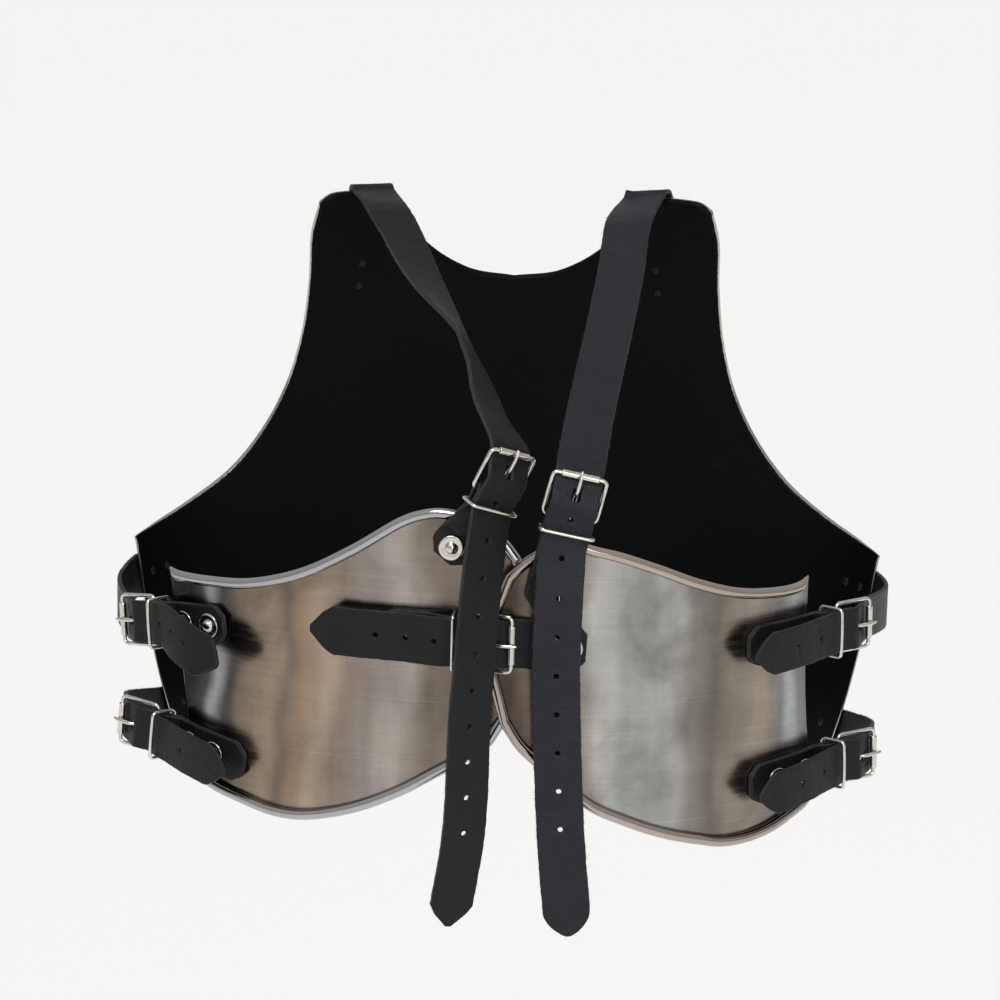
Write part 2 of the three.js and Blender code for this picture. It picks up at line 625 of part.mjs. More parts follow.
// A chape: leather folded round the hinge bar, with a slot for the prong and clipped corners
function buildChape(set) {
  const place = localTo(set);
  const up = BAR_UP;
  const full = set.width / 2 - 0.6;
  const top = SEAT + SLAB;
  const clip = 6;
  const round = (s) => Math.sqrt(Math.max(NOSE ** 2 - s ** 2, 0.3 ** 2));
  const stations = [
    [-NOSE, up - 0.5, up + 0.5, full],
    [-NOSE * 0.75, up - round(-NOSE * 0.75), up + round(-NOSE * 0.75), full],
    [0, up - NOSE, up + NOSE, full],
    [NOSE * 0.9, SEAT, up + NOSE * 0.85, full],
    [KEEPER_AT, SEAT, top + 1.7, full],
    [KEEPER_AT * 1.9, SEAT, top, full],
  ];
  const plain = Math.max(2, Math.round((set.chape - clip - KEEPER_AT * 1.9) / 9));
  for (let k = 1; k <= plain; k += 1) {
    stations.push([mix(KEEPER_AT * 1.9, set.chape - clip, k / plain), SEAT, top, full]);
  }
  stations.push([set.chape, SEAT, top, full - clip]);
  const rings = stations.map(([s, low, high, half]) => {
    const raise = liftAt(set, s);
    const drift = set.slant * Math.max(s - SLANT_FROM, 0);
    return [[-half, low], [half, low], [half, high], [-half, high]]
      .map(([w, n]) => place(s, w + drift, n + raise));
  });
  const rigid = rigidTo(set, 0);
  const sides = 6;
  const bore = [-1, 1].map((end) => Array.from({ length: sides }, (_, k) => {
    const angle = (2 * Math.PI * (k + 0.5)) / sides;
    const radius = WIRE + 1.6 * CLEAR;
    return rigid(radius * Math.cos(angle), end * set.width, barUp(set) + radius * Math.sin(angle));
  }));
  const slotHalf = PRONG + CLEAR;
  const slotEnd = WIRE + CLEAR + 2 * PRONG + CLEAR;
  const opening = [[-2 * NOSE, -2 * NOSE], [slotEnd, -2 * NOSE], [slotEnd, 2 * NOSE], [-2 * NOSE, 2 * NOSE]];
  const slot = [-1, 1].map((end) => opening
    .map(([s, n]) => rigid(s, end * slotHalf, barUp(set) + n)));
  return cut(skin(rings, false), [skin(bore, false), skin(slot, false)]);
}

// Straps

// A flat strap through stations {point, wide}: "wide" points across the strap. The tail end is shaped by a
// table of [distance from the tip as a share of the width, share of the half width].
function strapLine(stations) {
  const path = new THREE.CatmullRomCurve3(stations.map((s) => s.point), false, 'centripetal');
  path.arcLengthDivisions = 900;
  const length = path.getLength();
  const count = Math.round(length / STRAP_STEP);
  const fine = [];
  for (let i = 0; i <= count; i += 1) {
    const t = path.getUtoTmapping(i / count);
    const place = t * (stations.length - 1);
    const k = Math.min(Math.floor(place), stations.length - 2);
    const wide = stations[k].wide.clone().lerp(stations[k + 1].wide, place - k).normalize();
    const along = path.getTangent(t);
    wide.addScaledVector(along, -wide.dot(along)).normalize();
    const normal = v3(0, 0, 0).crossVectors(along, wide).normalize();
    fine.push({ point: path.getPoint(t), wide, along, normal, at: (i / count) * length });
  }
  const line = [fine[0]];
  for (const spot of fine.slice(1)) {
    const last = line[line.length - 1];
    const turned = Math.max(spot.along.angleTo(last.along), spot.wide.angleTo(last.wide)) > STRAP_TURN;
    const nearEnd = Math.min(spot.at, length - spot.at) < STRAP_END;
    if (turned || nearEnd || spot.at - last.at > STRAP_SPAN) line.push(spot);
  }
  return { line, fine, length };
}

function ribbon(strap, width, ends) {
  const shape = (table, distance) => {
    if (distance >= table[table.length - 1][0] * width) return 1;
    let k = 0;
    while (distance > table[k + 1][0] * width) k += 1;
    const from = table[k];
    const to = table[k + 1];
    return mix(from[1], to[1], (distance / width - from[0]) / (to[0] - from[0]));
  };
  const rings = strap.line.map((spot) => {
    const share = Math.min(shape(ends.start, spot.at), shape(ends.tip, strap.length - spot.at));
    const half = (width / 2) * share;
    return [[-1, -1], [1, -1], [1, 1], [-1, 1]].map(([w, n]) => spot.point.clone()
      .addScaledVector(spot.wide, w * half)
      .addScaledVector(spot.normal, (n * STRAP) / 2));
  });
  return skin(rings, false);
}

function punch(strap, at, halfLength, halfWidth) {
  let spot = strap.fine[0];
  for (const other of strap.fine) if (other.at <= at) spot = other;
  const point = spot.point.clone().addScaledVector(spot.along, at - spot.at);
  const sides = 5;
  const rings = [-1, 1].map((end) => Array.from({ length: sides }, (_, k) => {
    const angle = (2 * Math.PI * k) / sides;
    return point.clone()
      .addScaledVector(spot.along, halfLength * Math.cos(angle))
      .addScaledVector(spot.wide, halfWidth * Math.sin(angle))
      .addScaledVector(spot.normal, end * 2 * STRAP);
  }));
  return skin(rings, false);
}

const POINTED = [[0, 0.12], [0.28, 0.72], [0.5, 1]];
const CLIPPED = [[0, 0.55], [0.2, 1]];

function nearest(strap, point) {
  let best = strap.fine[0];
  for (const spot of strap.fine) if (spot.point.distanceTo(point) < best.point.distanceTo(point)) best = spot;
  return best.at + point.clone().sub(best.point).dot(best.along);
}

function setStations(set) {
  const place = localTo(set);
  const rigid = rigidTo(set, 0);
  const across = rigid(0, 1, 0).sub(rigid(0, -1, 0)).normalize();
  return strapOver(set).map(([s, n], i) => ({
    point: i <= AT_BAR || set.yaw ? rigid(s, 0, n) : place(s, 0, n),
    wide: across.clone(),
  }));
}

function strapPiece(stations, set, spec) {
  const strap = strapLine(stations);
  const rigid = rigidTo(set, 0);
  const [along, off] = inFrame(set, ...PRONG_CROSSES);
  const tools = [punch(strap, nearest(strap, rigid(along, 0, off)), PRONG_HOLE.along, PRONG_HOLE.across)];
  const atBar = nearest(strap, rigid(0, 0, strapOver(set)[AT_BAR][1]));
  for (let k = 0; k < spec.holes; k += 1) {
    tools.push(punch(strap, atBar + spec.first + k * spec.pitch, HOLE_RADIUS, HOLE_RADIUS));
  }
  return cut(ribbon(strap, set.width, { start: CLIPPED, tip: POINTED }), tools);
}

// Side straps: riveted on the outside of the breastplate, out past its raw edge, then to the buckle.
// Columns by name: height on the breastplate, hand (+1 on the wearer's left), how far the loop bulges
// outward, the tail's length past the keeper, how far its end drops and leans, how far it stands off the
// plate, and its holes: the first one's distance past the hinge bar, their spacing and their number.
const SIDE_STRAPS = {
  side_left_upper: {
    z: -224, hand: 1, bulge: 8,
    tail: 44, drop: 18, lean: 30, stand: 12, first: 14, pitch: 13.5, holes: 3,
  },
  side_left_lower: {
    z: -302, hand: 1, bulge: 9,
    tail: 46, drop: 2, lean: 0, stand: 5, first: 33, pitch: 20, holes: 1,
  },
  side_right_upper: {
    z: -223, hand: -1, bulge: 9,
    tail: 52, drop: 2, lean: 0, stand: 4, first: 3, pitch: 20, holes: 3,
  },
  side_right_lower: {
    z: -305, hand: -1, bulge: 9,
    tail: 54, drop: 3, lean: 0, stand: 4, first: 3, pitch: 20, holes: 3,
  },
};
const ON_BREAST = STEEL / 2 + CLEAR + STRAP / 2;
const ON_STRAP = STRAP / 2 + CLEAR; // a rivet's seat over the middle of a side strap
const SIDE_RIVETS = [27, 13]; // distances inward from the breastplate's edge
const EDGE_GAP = 0.8; // extra gap where a strap crosses the raw edge

const sideEdge = (z) => breastTurn(BREAST_HALF * smooth(
  BREAST_SIDE.map(([a, b]) => [-b, a]), 1, -z / BREAST_DROP), z);

function breastStations(spec) {
  const edge = sideEdge(spec.z);
  return [34, 23, 12, 2].map((inward) => {
    const turn = spec.hand * (edge - inward / BREAST_ARC);
    const up = onBreast(turn, spec.z + 1, 0).point.sub(onBreast(turn, spec.z - 1, 0).point).normalize();
    return { point: onBreast(turn, spec.z, ON_BREAST + EDGE_GAP).point, wide: up.multiplyScalar(spec.hand) };
  });
}

function buildSideStrap(name) {
  const set = SETS[name];
  const spec = SIDE_STRAPS[name];
  const onPlate = breastStations(spec);
  const atSet = setStations(set);
  const from = onPlate[onPlate.length - 1].point;
  const to = atSet[0].point;
  const middle = from.clone().lerp(to, 0.5).add(v3(spec.hand * spec.bulge, 0, 0));
  const loop = { point: middle, wide: v3(0, 0, spec.hand) };
  const place = localTo(set);
  const side = -Math.sign(Math.cos(rad(set.heading)));
  const [pastKeeper, base] = strapOver(set)[AT_KEEPER + 1];
  const tail = [0.35, 0.7, 1].map((share) => ({
    point: place(
      pastKeeper + spec.tail * share,
      -side * spec.drop * share,
      base + spec.stand * share * (1 - 0.3 * share),
    ),
    wide: v3(0, 0, spec.hand).applyAxisAngle(v3(0, 1, 0), -side * rad(spec.lean) * Math.min(1, share * 1.5)),
  }));
  const stations = [...onPlate, loop, ...atSet, ...tail];
  return strapPiece(stations, set, spec);
}

// Shoulder straps: riveted on the outside of the tabs, folded over the tab tops, down the back to the buckle,
// and a long tail that hangs free. Columns by name: the fold's place, how far the fold shifts inward and
// cants, the holes, the free run between fold and buckle, and the tail. A row of the run or the tail is a
// place and the strap's twist in degrees there.
const SHOULDER_STRAPS = {
  shoulder_left: {
    tab: 83.5, inset: 0, cant: 0, first: 5, pitch: 20.5, holes: 10,
    run: [
      [75.4, 23.5, -3, 8], [66, 43.6, -14.3, 12], [55.1, 71.8, -29.8, 21], [45.3, 94.4, -41.9, 33],
      [32.7, 120.1, -55.3, 52], [25.1, 136.2, -63.5, 62], [17.3, 160.4, -75.7, 57], [10.7, 188.6, -89.5, 44],
    ],
    tail: [
      [13.8, 236.5, -182.1, 32], [15.7, 238.5, -213.6, 30], [17.8, 236.5, -249.7, 26],
      [19.7, 232, -315.1, 23], [27.4, 229, -369, 22],
    ],
  },
  shoulder_right: {
    tab: -77, inset: 2, cant: 14, first: 0, pitch: 21.7, holes: 9,
    run: [
      [-64.3, 36.4, -9, 0], [-60.8, 66.8, -28.1, 0], [-56.3, 96.5, -46.2, 0], [-52.6, 119.5, -59.9, 0],
      [-48.2, 144.7, -74.6, 0], [-42.4, 181.7, -95.5, 0],
    ],
    tail: [
      [-28.4, 232, -182.4, 0], [-27.9, 231, -214.7, 0], [-28.6, 230, -239.4, 0], [-33, 228, -315.2, 0],
      [-39, 228, -373.3, 0],
    ],
  },
};

// Front of the tab, from the strap's end up. Columns: height, distance outward from the fold's place, lift
const TAB_FRONT = [
  [-66, 9, 0], [-50, 7, 0], [-38, 5.2, 0.1], [-30, 4.2, 1], [-21, 3, 2.9], [-11, 1.4, 5.2],
];
const TAB_RIVETS = [[-59, 8.2], [-44.4, 6.2]]; // columns: height, distance outward
const FOLD_END = 116; // degrees that the strap turns with the tab's rolled edge

function tabStation(spec, z, outward, off) {
  const hand = Math.sign(spec.tab);
  const turn = breastTurn(spec.tab + hand * outward, Math.min(z, 0));
  const wide = onBreast(turn - 0.02, z, off).point.sub(onBreast(turn + 0.02, z, off).point).normalize();
  const { point, normal } = onBreast(turn, z, off);
  return { point, wide, normal };
}

function tabStations(spec) {
  const round = BEAD_RADIUS + CLEAR + STRAP / 2 + 0.6;
  const beadUp = BEAD_RADIUS - STEEL / 2;
  const front = TAB_FRONT.map(([z, outward, lift]) => tabStation(spec, z, outward, ON_BREAST + CLEAR + lift));
  const fold = [0, 45, 90, FOLD_END].map((angle) => {
    const share = angle / FOLD_END;
    const off = beadUp + round * Math.cos(rad(angle));
    const z = round * Math.sin(rad(angle)) - BEAD_RADIUS;
    const { point, wide } = tabStation(spec, z, -spec.inset * share, off);
    return { point, wide: wide.applyAxisAngle(v3(0, 1, 0), rad(spec.cant) * share) };
  });
  return [...front, ...fold];
}

function buildShoulderStrap(name) {
  const set = SETS[name];
  const spec = SHOULDER_STRAPS[name];
  const onTab = tabStations(spec);
  const atSet = setStations(set);
  const way = atSet[0].point.clone().sub(onTab[onTab.length - 1].point).normalize();
  const turned = (rows, axis) => rows.map(([x, y, z, twist]) => ({
    point: v3(x, y, z),
    wide: v3(-1, 0, 0).applyAxisAngle(axis, -rad(twist)),
  }));
  const stations = [...onTab, ...turned(spec.run, way), ...atSet, ...turned(spec.tail, v3(0, 0, -1))];
  return strapPiece(stations, set, spec);
}

// Centre strap: riveted on the right back plate, over its rolled edge, through the buckle on the left plate
const CENTRE_START = -44;
const CENTRE_TIP = 105;
const CENTRE_HOLES = { first: 18.5, pitch: 17, holes: 3 };

function buildCentreStrap() {
  const set = SETS.centre;
  const across = v3(0, 0, -1);
  const start = [0, 10, 20].map((step) => ({
    point: onRight(CENTRE_START + step, set.z - 3.5 + step * 0.05, ON_BREAST).point,
    wide: across.clone(),
  }));
  const place = localTo(set);
  const atSet = setStations(set);
  const reach = CENTRE_TIP - set.arc;
  const low = SEAT + SLAB + STRAP / 2 + CLEAR;
  const tail = [0.4, 0.7, 1].map((share) => ({
    point: place(reach * share, 0, mix(low + 5, low + 3, share)),
    wide: across.clone(),
  }));
  return strapPiece([...start, ...atSet, ...tail], set, CENTRE_HOLES);
}

// Rivet heads: a washer and a dome, seated on the leather

function buildRivet(place) {
  const sides = 7;
  const steps = [[WASHER_RADIUS, 0], [WASHER_RADIUS, WASHER], [DOME_RADIUS, WASHER]];
  const points = [place(0, 0, 0)];
  for (const [radius, off] of steps) {
    for (let k = 0; k < sides; k += 1) {
      const angle = (2 * Math.PI * k) / sides;
      points.push(place(radius * Math.cos(angle), radius * Math.sin(angle), off));
    }
  }
  points.push(place(0, 0, WASHER + DOME_HEIGHT));
  const triangles = [];
  const end = points.length - 1;
  for (let k = 0; k < sides; k += 1) {
    const next = (k + 1) % sides;
    triangles.push([0, 1 + next, 1 + k]);
    for (let ring = 0; ring < 2; ring += 1) {
      const a = 1 + ring * sides;
      triangles.push([a + k, a + next, a + sides + next], [a + k, a + sides + next, a + sides + k]);
    }
    triangles.push([1 + 2 * sides + k, 1 + 2 * sides + next, end]);
  }
  return meshOf(points, triangles);
}

function framePlacer(point, normal, along) {
  const s = along.clone().addScaledVector(normal, -along.dot(normal)).normalize();
  const w = v3(0, 0, 0).crossVectors(normal, s);
  return (a, b, off) => point.clone()
    .addScaledVector(s, a).addScaledVector(w, b).addScaledVector(normal, off);
}

// Assembly

addPiece('breastplate', buildBreastplate(), steel);
addPiece('back_plate_left', buildBackPlate(LEFT_OUTLINE, LEFT_PLAN, onLeft, 1), steel);
addPiece('back_plate_right', buildBackPlate(RIGHT_OUTLINE, RIGHT_PLAN, onRight, -1), steel);

for (const [name, set] of Object.entries(SETS)) {
  addPiece(`${name}_buckle_frame`, buildFrame(set), nickel);
  addPiece(`${name}_buckle_roller`, buildRoller(set), nickel);
  addPiece(`${name}_buckle_prong`, buildProng(set), nickel);
  addPiece(`${name}_keeper`, buildKeeper(set), nickel);
  addPiece(`${name}_chape`, buildChape(set), leather);
  set.rivets.forEach((at, k) => {
    const place = localTo(set);
    const off = SEAT + SLAB + CLEAR + 0.4;
    const point = place(at, set.slant * Math.max(at - SLANT_FROM, 0), off);
    const { normal } = set.on(set.arc + at * Math.cos(rad(set.heading)), set.z, 0);
    const along = place(at + 1, 0, off).sub(place(at - 1, 0, off));
    addPiece(`${name}_chape_rivet_${k + 1}`, buildRivet(framePlacer(point, normal, along)), nickel);
  });
}

for (const [name, spec] of Object.entries(SIDE_STRAPS)) {
  addPiece(`${name}_strap`, buildSideStrap(name), leather);
  const edge = sideEdge(spec.z);
  SIDE_RIVETS.forEach((inward, k) => {
    const off = ON_BREAST + EDGE_GAP + ON_STRAP;
    const { point, normal } = onBreast(spec.hand * (edge - inward / BREAST_ARC), spec.z, off);
    const place = framePlacer(point, normal, v3(0, 0, 1));
    addPiece(`${name}_strap_rivet_${k + 1}`, buildRivet(place), nickel);
  });
}

for (const [name, spec] of Object.entries(SHOULDER_STRAPS)) {
  addPiece(`${name}_strap`, buildShoulderStrap(name), leather);
  TAB_RIVETS.forEach(([z, outward], k) => {
    const { point, normal } = tabStation(spec, z, outward, ON_BREAST + STRAP / 2 + 3.5 * CLEAR);
    addPiece(`${name}_strap_rivet_${k + 1}`, buildRivet(framePlacer(point, normal, v3(0, 0, 1))), nickel);
  });
}

addPiece('centre_strap', buildCentreStrap(), leather);

export default group;
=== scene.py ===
"""A steel cuirass with leather straps: breastplate, two lapped back plates, straps and roller buckles.

The scene is in metres. The sizes below are in millimetres and in the frame's axes: the chest faces -Y, the
wearer's left is +X, and the origin lies between the tops of the two shoulder tabs.
"""
import logging
import math
from dataclasses import dataclass, field
from enum import Enum
from typing import Any, Callable, Sequence

import bmesh
import bpy
import numpy as np
from mathutils import Matrix, Vector
from mathutils.geometry import delaunay_2d_cdt


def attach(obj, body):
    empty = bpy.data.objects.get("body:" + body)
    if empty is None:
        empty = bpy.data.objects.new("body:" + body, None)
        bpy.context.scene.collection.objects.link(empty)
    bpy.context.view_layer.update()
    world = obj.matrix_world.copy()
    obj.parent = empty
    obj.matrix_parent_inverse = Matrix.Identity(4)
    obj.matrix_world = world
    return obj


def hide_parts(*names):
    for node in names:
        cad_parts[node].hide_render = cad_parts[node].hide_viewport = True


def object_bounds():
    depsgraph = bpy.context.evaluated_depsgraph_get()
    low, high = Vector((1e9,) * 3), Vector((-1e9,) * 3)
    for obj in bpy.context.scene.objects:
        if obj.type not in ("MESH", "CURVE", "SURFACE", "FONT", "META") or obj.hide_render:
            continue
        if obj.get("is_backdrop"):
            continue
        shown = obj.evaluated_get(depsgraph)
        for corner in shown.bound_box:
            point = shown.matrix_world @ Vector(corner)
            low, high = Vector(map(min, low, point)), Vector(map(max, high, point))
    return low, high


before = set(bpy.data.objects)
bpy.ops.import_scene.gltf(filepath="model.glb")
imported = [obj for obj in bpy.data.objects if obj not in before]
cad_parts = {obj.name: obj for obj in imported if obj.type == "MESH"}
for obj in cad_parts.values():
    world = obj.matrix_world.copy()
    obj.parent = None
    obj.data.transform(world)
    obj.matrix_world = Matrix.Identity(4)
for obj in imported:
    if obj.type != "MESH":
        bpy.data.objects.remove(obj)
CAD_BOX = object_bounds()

LOG = logging.getLogger("cuirass")
MM = 0.001
Array = np.ndarray
Place = Callable[[Any, Any, Any], Array]

# Sheet steel
STEEL = 1.2
BEAD_RADIUS = 3.0

# Leather
STRAP = 2.6
FOLD = 1.9
LEFT_SHOULDER_WIDTH = 25.0
RIGHT_SHOULDER_WIDTH = 26.0
SIDE_WIDTH = 24.0
CENTRE_WIDTH = 27.0
HOLE_RADIUS = 1.5
PRONG_HOLE = (4.2, 2.6)

# Buckles
WIRE = 1.1
ROLLER = 1.9
PRONG = 1.1
KEEPER = 1.0
FRAME_LENGTH = 24.0
KEEPER_AT = 8.0
CLEAR = 0.3
FRAME_ROOM = 0.5
ROLLER_ROOM = 4.6
AT_BAR = 3
AT_KEEPER = 4
PRONG_CROSSES = (13.8, 2.9)

# Rivets
WASHER_RADIUS = 7.0
DOME_RADIUS = 3.3
DOME_HEIGHT = 2.2
WASHER = 0.9

# Heights over the middle of a plate
SEAT = STEEL / 2 + 1.5 * CLEAR
NOSE = WIRE + CLEAR + FOLD
BAR_UP = SEAT + NOSE
SLAB = 2 * FOLD
SLANT_FROM = 12.0
EDGE_GAP = 0.8
ON_BREAST = STEEL / 2 + CLEAR + STRAP / 2


class Hand(Enum):
    """The wearer's side that a piece is on."""

    LEFT = 1
    RIGHT = -1


class Tone(Enum):
    """The shade of a piece of black leather: plain black, or a lighter, bluish copy that paints the sheen of cool
    light on it.
    """

    BLUE = "blue"
    BLACK = "black"


# Numbers


def unit(vectors: Array) -> Array:
    """Vectors scaled to length one."""
    return vectors / np.maximum(np.linalg.norm(vectors, axis=-1, keepdims=True), 1e-12)


def mix(a: Any, b: Any, share: Any) -> Any:
    """A value between two others."""
    return a + (b - a) * share


def smoothstep(x: Any, low: float, high: float) -> Any:
    """A smooth rise from 0 at low to 1 at high."""
    t = np.clip((x - low) / (high - low), 0.0, 1.0)
    return t * t * (3 - 2 * t)


def turned(vector: Array, axis: Array, angle: float) -> Array:
    """A vector turned round an axis by an angle in radians."""
    axis = unit(np.asarray(axis, float))
    vector = np.asarray(vector, float)
    return (
        vector * math.cos(angle)
        + np.cross(axis, vector) * math.sin(angle)
        + axis * axis.dot(vector) * (1 - math.cos(angle))
    )


def smooth(table: Array, column: int, at: Any) -> Array:
    """Reads a short table smoothly between its rows.

    Args:
        table: Rows whose first column climbs.
        column: The column to read.
        at: Where to read, in the first column's measure.

    Returns:
        The value at each place.
    """
    x, y = table[:, 0], table[:, column]
    last = len(x) - 1
    near = np.maximum(np.arange(last + 1) - 1, 0)
    far = np.minimum(np.arange(last + 1) + 1, last)
    slope = (y[far] - y[near]) / (x[far] - x[near])
    i = np.clip(np.searchsorted(x, at) - 1, 0, last - 1)
    width = x[i + 1] - x[i]
    t = np.clip((at - x[i]) / width, 0.0, 1.0)
    value = (1 + 2 * t) * (1 - t) ** 2 * y[i] + t * t * (3 - 2 * t) * y[i + 1]
    return value + t * (1 - t) ** 2 * width * slope[i] - t * t * (1 - t) * width * slope[i + 1]


def ripple(x: Any, y: Any, wavelength: float, seed: int) -> Array:
    """A gentle random relief between about -1 and 1.

    Args:
        x: First coordinate.
        y: Second coordinate.
        wavelength: Rough distance between two crests, in the coordinates' measure.
        seed: Fixes the relief.

    Returns:
        The relief at each point.
    """
    draw = np.random.default_rng(seed)
    total = 0.0
    for _ in range(7):
        angle = draw.uniform(0, 2 * math.pi)
        pace = 2 * math.pi / (wavelength * draw.uniform(0.7, 1.5))
        total = total + np.sin(pace * (np.cos(angle) * x + np.sin(angle) * y) + draw.uniform(0, 6.3))
    return total / 3.2


class Spline:
    """A centripetal Catmull-Rom line through points."""

    def __init__(self, points: Sequence[Sequence[float]]) -> None:
        """Works out the line's pieces.

        Args:
            points: The points that the line passes, in order.
        """
        p = np.asarray(points, float)
        self.count = len(p)
        p = np.vstack([2 * p[0] - p[1], p, 2 * p[-1] - p[-2]])
        gap = np.maximum(np.sum(np.diff(p, axis=0) ** 2, axis=1) ** 0.25, 1e-6)[:, None]
        before, here, after = gap[:-2], gap[1:-1], gap[2:]
        x0, x1, x2, x3 = p[:-3], p[1:-2], p[2:-1], p[3:]
        t1 = ((x1 - x0) / before - (x2 - x0) / (before + here) + (x2 - x1) / here) * here
        t2 = ((x2 - x1) / here - (x3 - x1) / (here + after) + (x3 - x2) / after) * here
        self.terms = (x1, t1, -3 * x1 + 3 * x2 - 2 * t1 - t2, 2 * x1 - 2 * x2 + t1 + t2)
        self.fine = np.linspace(0, self.count - 1, 80 * (self.count - 1) + 1)
        steps = np.linalg.norm(np.diff(self.at(self.fine), axis=0), axis=1)
        self.run = np.concatenate([[0.0], np.cumsum(steps)])

    def at(self, share: Array) -> Array:
        """Points of the line; a share of 1.5 lies between its second and third point."""
        k = np.clip(np.floor(share).astype(int), 0, self.count - 2)
        t = (share - k)[:, None]
        a, b, c, d = (term[k] for term in self.terms)
        return a + t * (b + t * (c + t * d))

    def along(self, share: Array) -> Array:
        """Directions of the line."""
        k = np.clip(np.floor(share).astype(int), 0, self.count - 2)
        t = (share - k)[:, None]
        _, b, c, d = (term[k] for term in self.terms)
        return unit(b + t * (2 * c + 3 * t * d))

    def even(self, count: int) -> Array:
        """Shares of evenly spaced points, both ends included."""
        return np.interp(np.linspace(0, self.run[-1], count), self.run, self.fine)


# Meshes


@dataclass
class Shape:
    """A mesh in the making, in millimetres."""

    points: Array
    faces: list[Sequence[int]]
    uv: Array | None = None
    marks: dict[str, Array] = field(default_factory=dict)
    normals: Array | None = None

    def piece(self, name: str, material: bpy.types.Material) -> bpy.types.Object:
        """Makes the Blender object.

        Args:
            name: The piece's name.
            material: Its finish.

        Returns:
            The new object at the origin, its place in its mesh.
        """
        mesh = bpy.data.meshes.new(name)
        mesh.from_pydata((self.points * MM).tolist(), [], [list(face) for face in self.faces])
        build = bmesh.new()
        build.from_mesh(mesh)
        bmesh.ops.recalc_face_normals(build, faces=build.faces)
        build.to_mesh(mesh)
        build.free()
        mesh.polygons.foreach_set("use_smooth", np.ones(len(mesh.polygons), bool))
        corners = np.empty(len(mesh.loops), int)
        mesh.loops.foreach_get("vertex_index", corners)
        if self.uv is not None:
            layer = mesh.uv_layers.new(name="flat")
            layer.data.foreach_set("uv", (self.uv[corners] * MM).ravel())
        for label, values in self.marks.items():
            mesh.attributes.new(label, "FLOAT", "POINT").data.foreach_set("value", np.asarray(values, float))
        if self.normals is not None:
            mesh.normals_split_custom_set_from_vertices(self.normals.tolist())
        mesh.materials.append(material)
        made = bpy.data.objects.new(name, mesh)
        bpy.context.scene.collection.objects.link(made)
        return made


def settle(piece: bpy.types.Object, slot: str, *nodes: str) -> bpy.types.Object:
    """Hands a finished piece to the frame.

    Args:
        piece: The piece, in place.
        slot: The record's material slot; not used.
        nodes: The CAD nodes that it stands for.

    Returns:
        The same piece.
    """
    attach(piece, "root")
    if nodes:
        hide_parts(*nodes)
    LOG.info("%s: %d faces, for %s", piece.name, len(piece.data.polygons), ", ".join(nodes) or "no node")
    return piece


def tube(line: Array, radii: Any, side: Array, closed: bool, sides: int = 14, flat: float = 1.0) -> Shape:
    """A round bar along a line.

    Args:
        line: Points of the bar's middle.
        radii: One radius, or one for each point.
        side: A direction that is never along the bar; sections turn from it.
        closed: Whether the bar is a loop.
        sides: Points round a section.
        flat: Height of a section as a share of its width.

    Returns:
        The bar, its ends domed.
    """
    count = len(line)
    radii = np.broadcast_to(np.asarray(radii, float), (count,)).copy()
    if closed:
        along = unit(np.roll(line, -1, axis=0) - np.roll(line, 1, axis=0))
    else:
        along = unit(np.gradient(line, axis=0))
        caps = np.radians([90, 60, 30])
        head = [line[0] - along[0] * radii[0] * math.sin(a) * 0.8 for a in caps]
        tail = [line[-1] + along[-1] * radii[-1] * math.sin(a) * 0.8 for a in caps[::-1]]
        small = np.maximum(np.cos(caps), 0.02)
        line = np.vstack([head, line, tail])
        along = np.vstack([[along[0]] * 3, along, [along[-1]] * 3])
        radii = np.concatenate([radii[0] * small, radii, radii[-1] * small[::-1]])
        count += 6
    up = unit(side - along * np.sum(along * side, axis=1, keepdims=True))
    across = np.cross(along, up)
    angle = 2 * math.pi * np.arange(sides) / sides
    ring = (
        line[:, None, :]
        + up[:, None, :] * (radii[:, None] * np.cos(angle) * flat)[:, :, None]
        + across[:, None, :] * (radii[:, None] * np.sin(angle))[:, :, None]
    )
    faces: list[Sequence[int]] = []
    for i in range(count if closed else count - 1):
        for k in range(sides):
            a, b = i * sides + k, i * sides + (k + 1) % sides
            shift = ((i + 1) % count - i) * sides
            faces.append([a, b, b + shift, a + shift])
    if not closed:
        faces += [list(range(sides)), list(range((count - 1) * sides, count * sides))]
    return Shape(ring.reshape(-1, 3), faces)


def rounded(corners: Array, radius: float, steps: int = 8) -> Array:
    """A closed line with rounded corners.

    Args:
        corners: The corners, in order, in a plane.
        radius: How far from each corner the bend begins.
        steps: Points in each bend.

    Returns:
        Points of the line, the straight stretches divided as well.
    """
    points: list[Array] = []
    count = len(corners)
    for k in range(count):
        here = corners[k]
        start = here + unit(corners[k - 1] - here) * radius
        end = here + unit(corners[(k + 1) % count] - here) * radius
        for t in np.linspace(0, 1, steps):
            points.append((1 - t) ** 2 * start + 2 * t * (1 - t) * here + t * t * end)
        after = corners[(k + 1) % count]
        onward = after + unit(here - after) * radius
        points.extend(mix(end, onward, t) for t in (0.25, 0.5, 0.75))
    return np.array(points)


# Surfaces of the plates


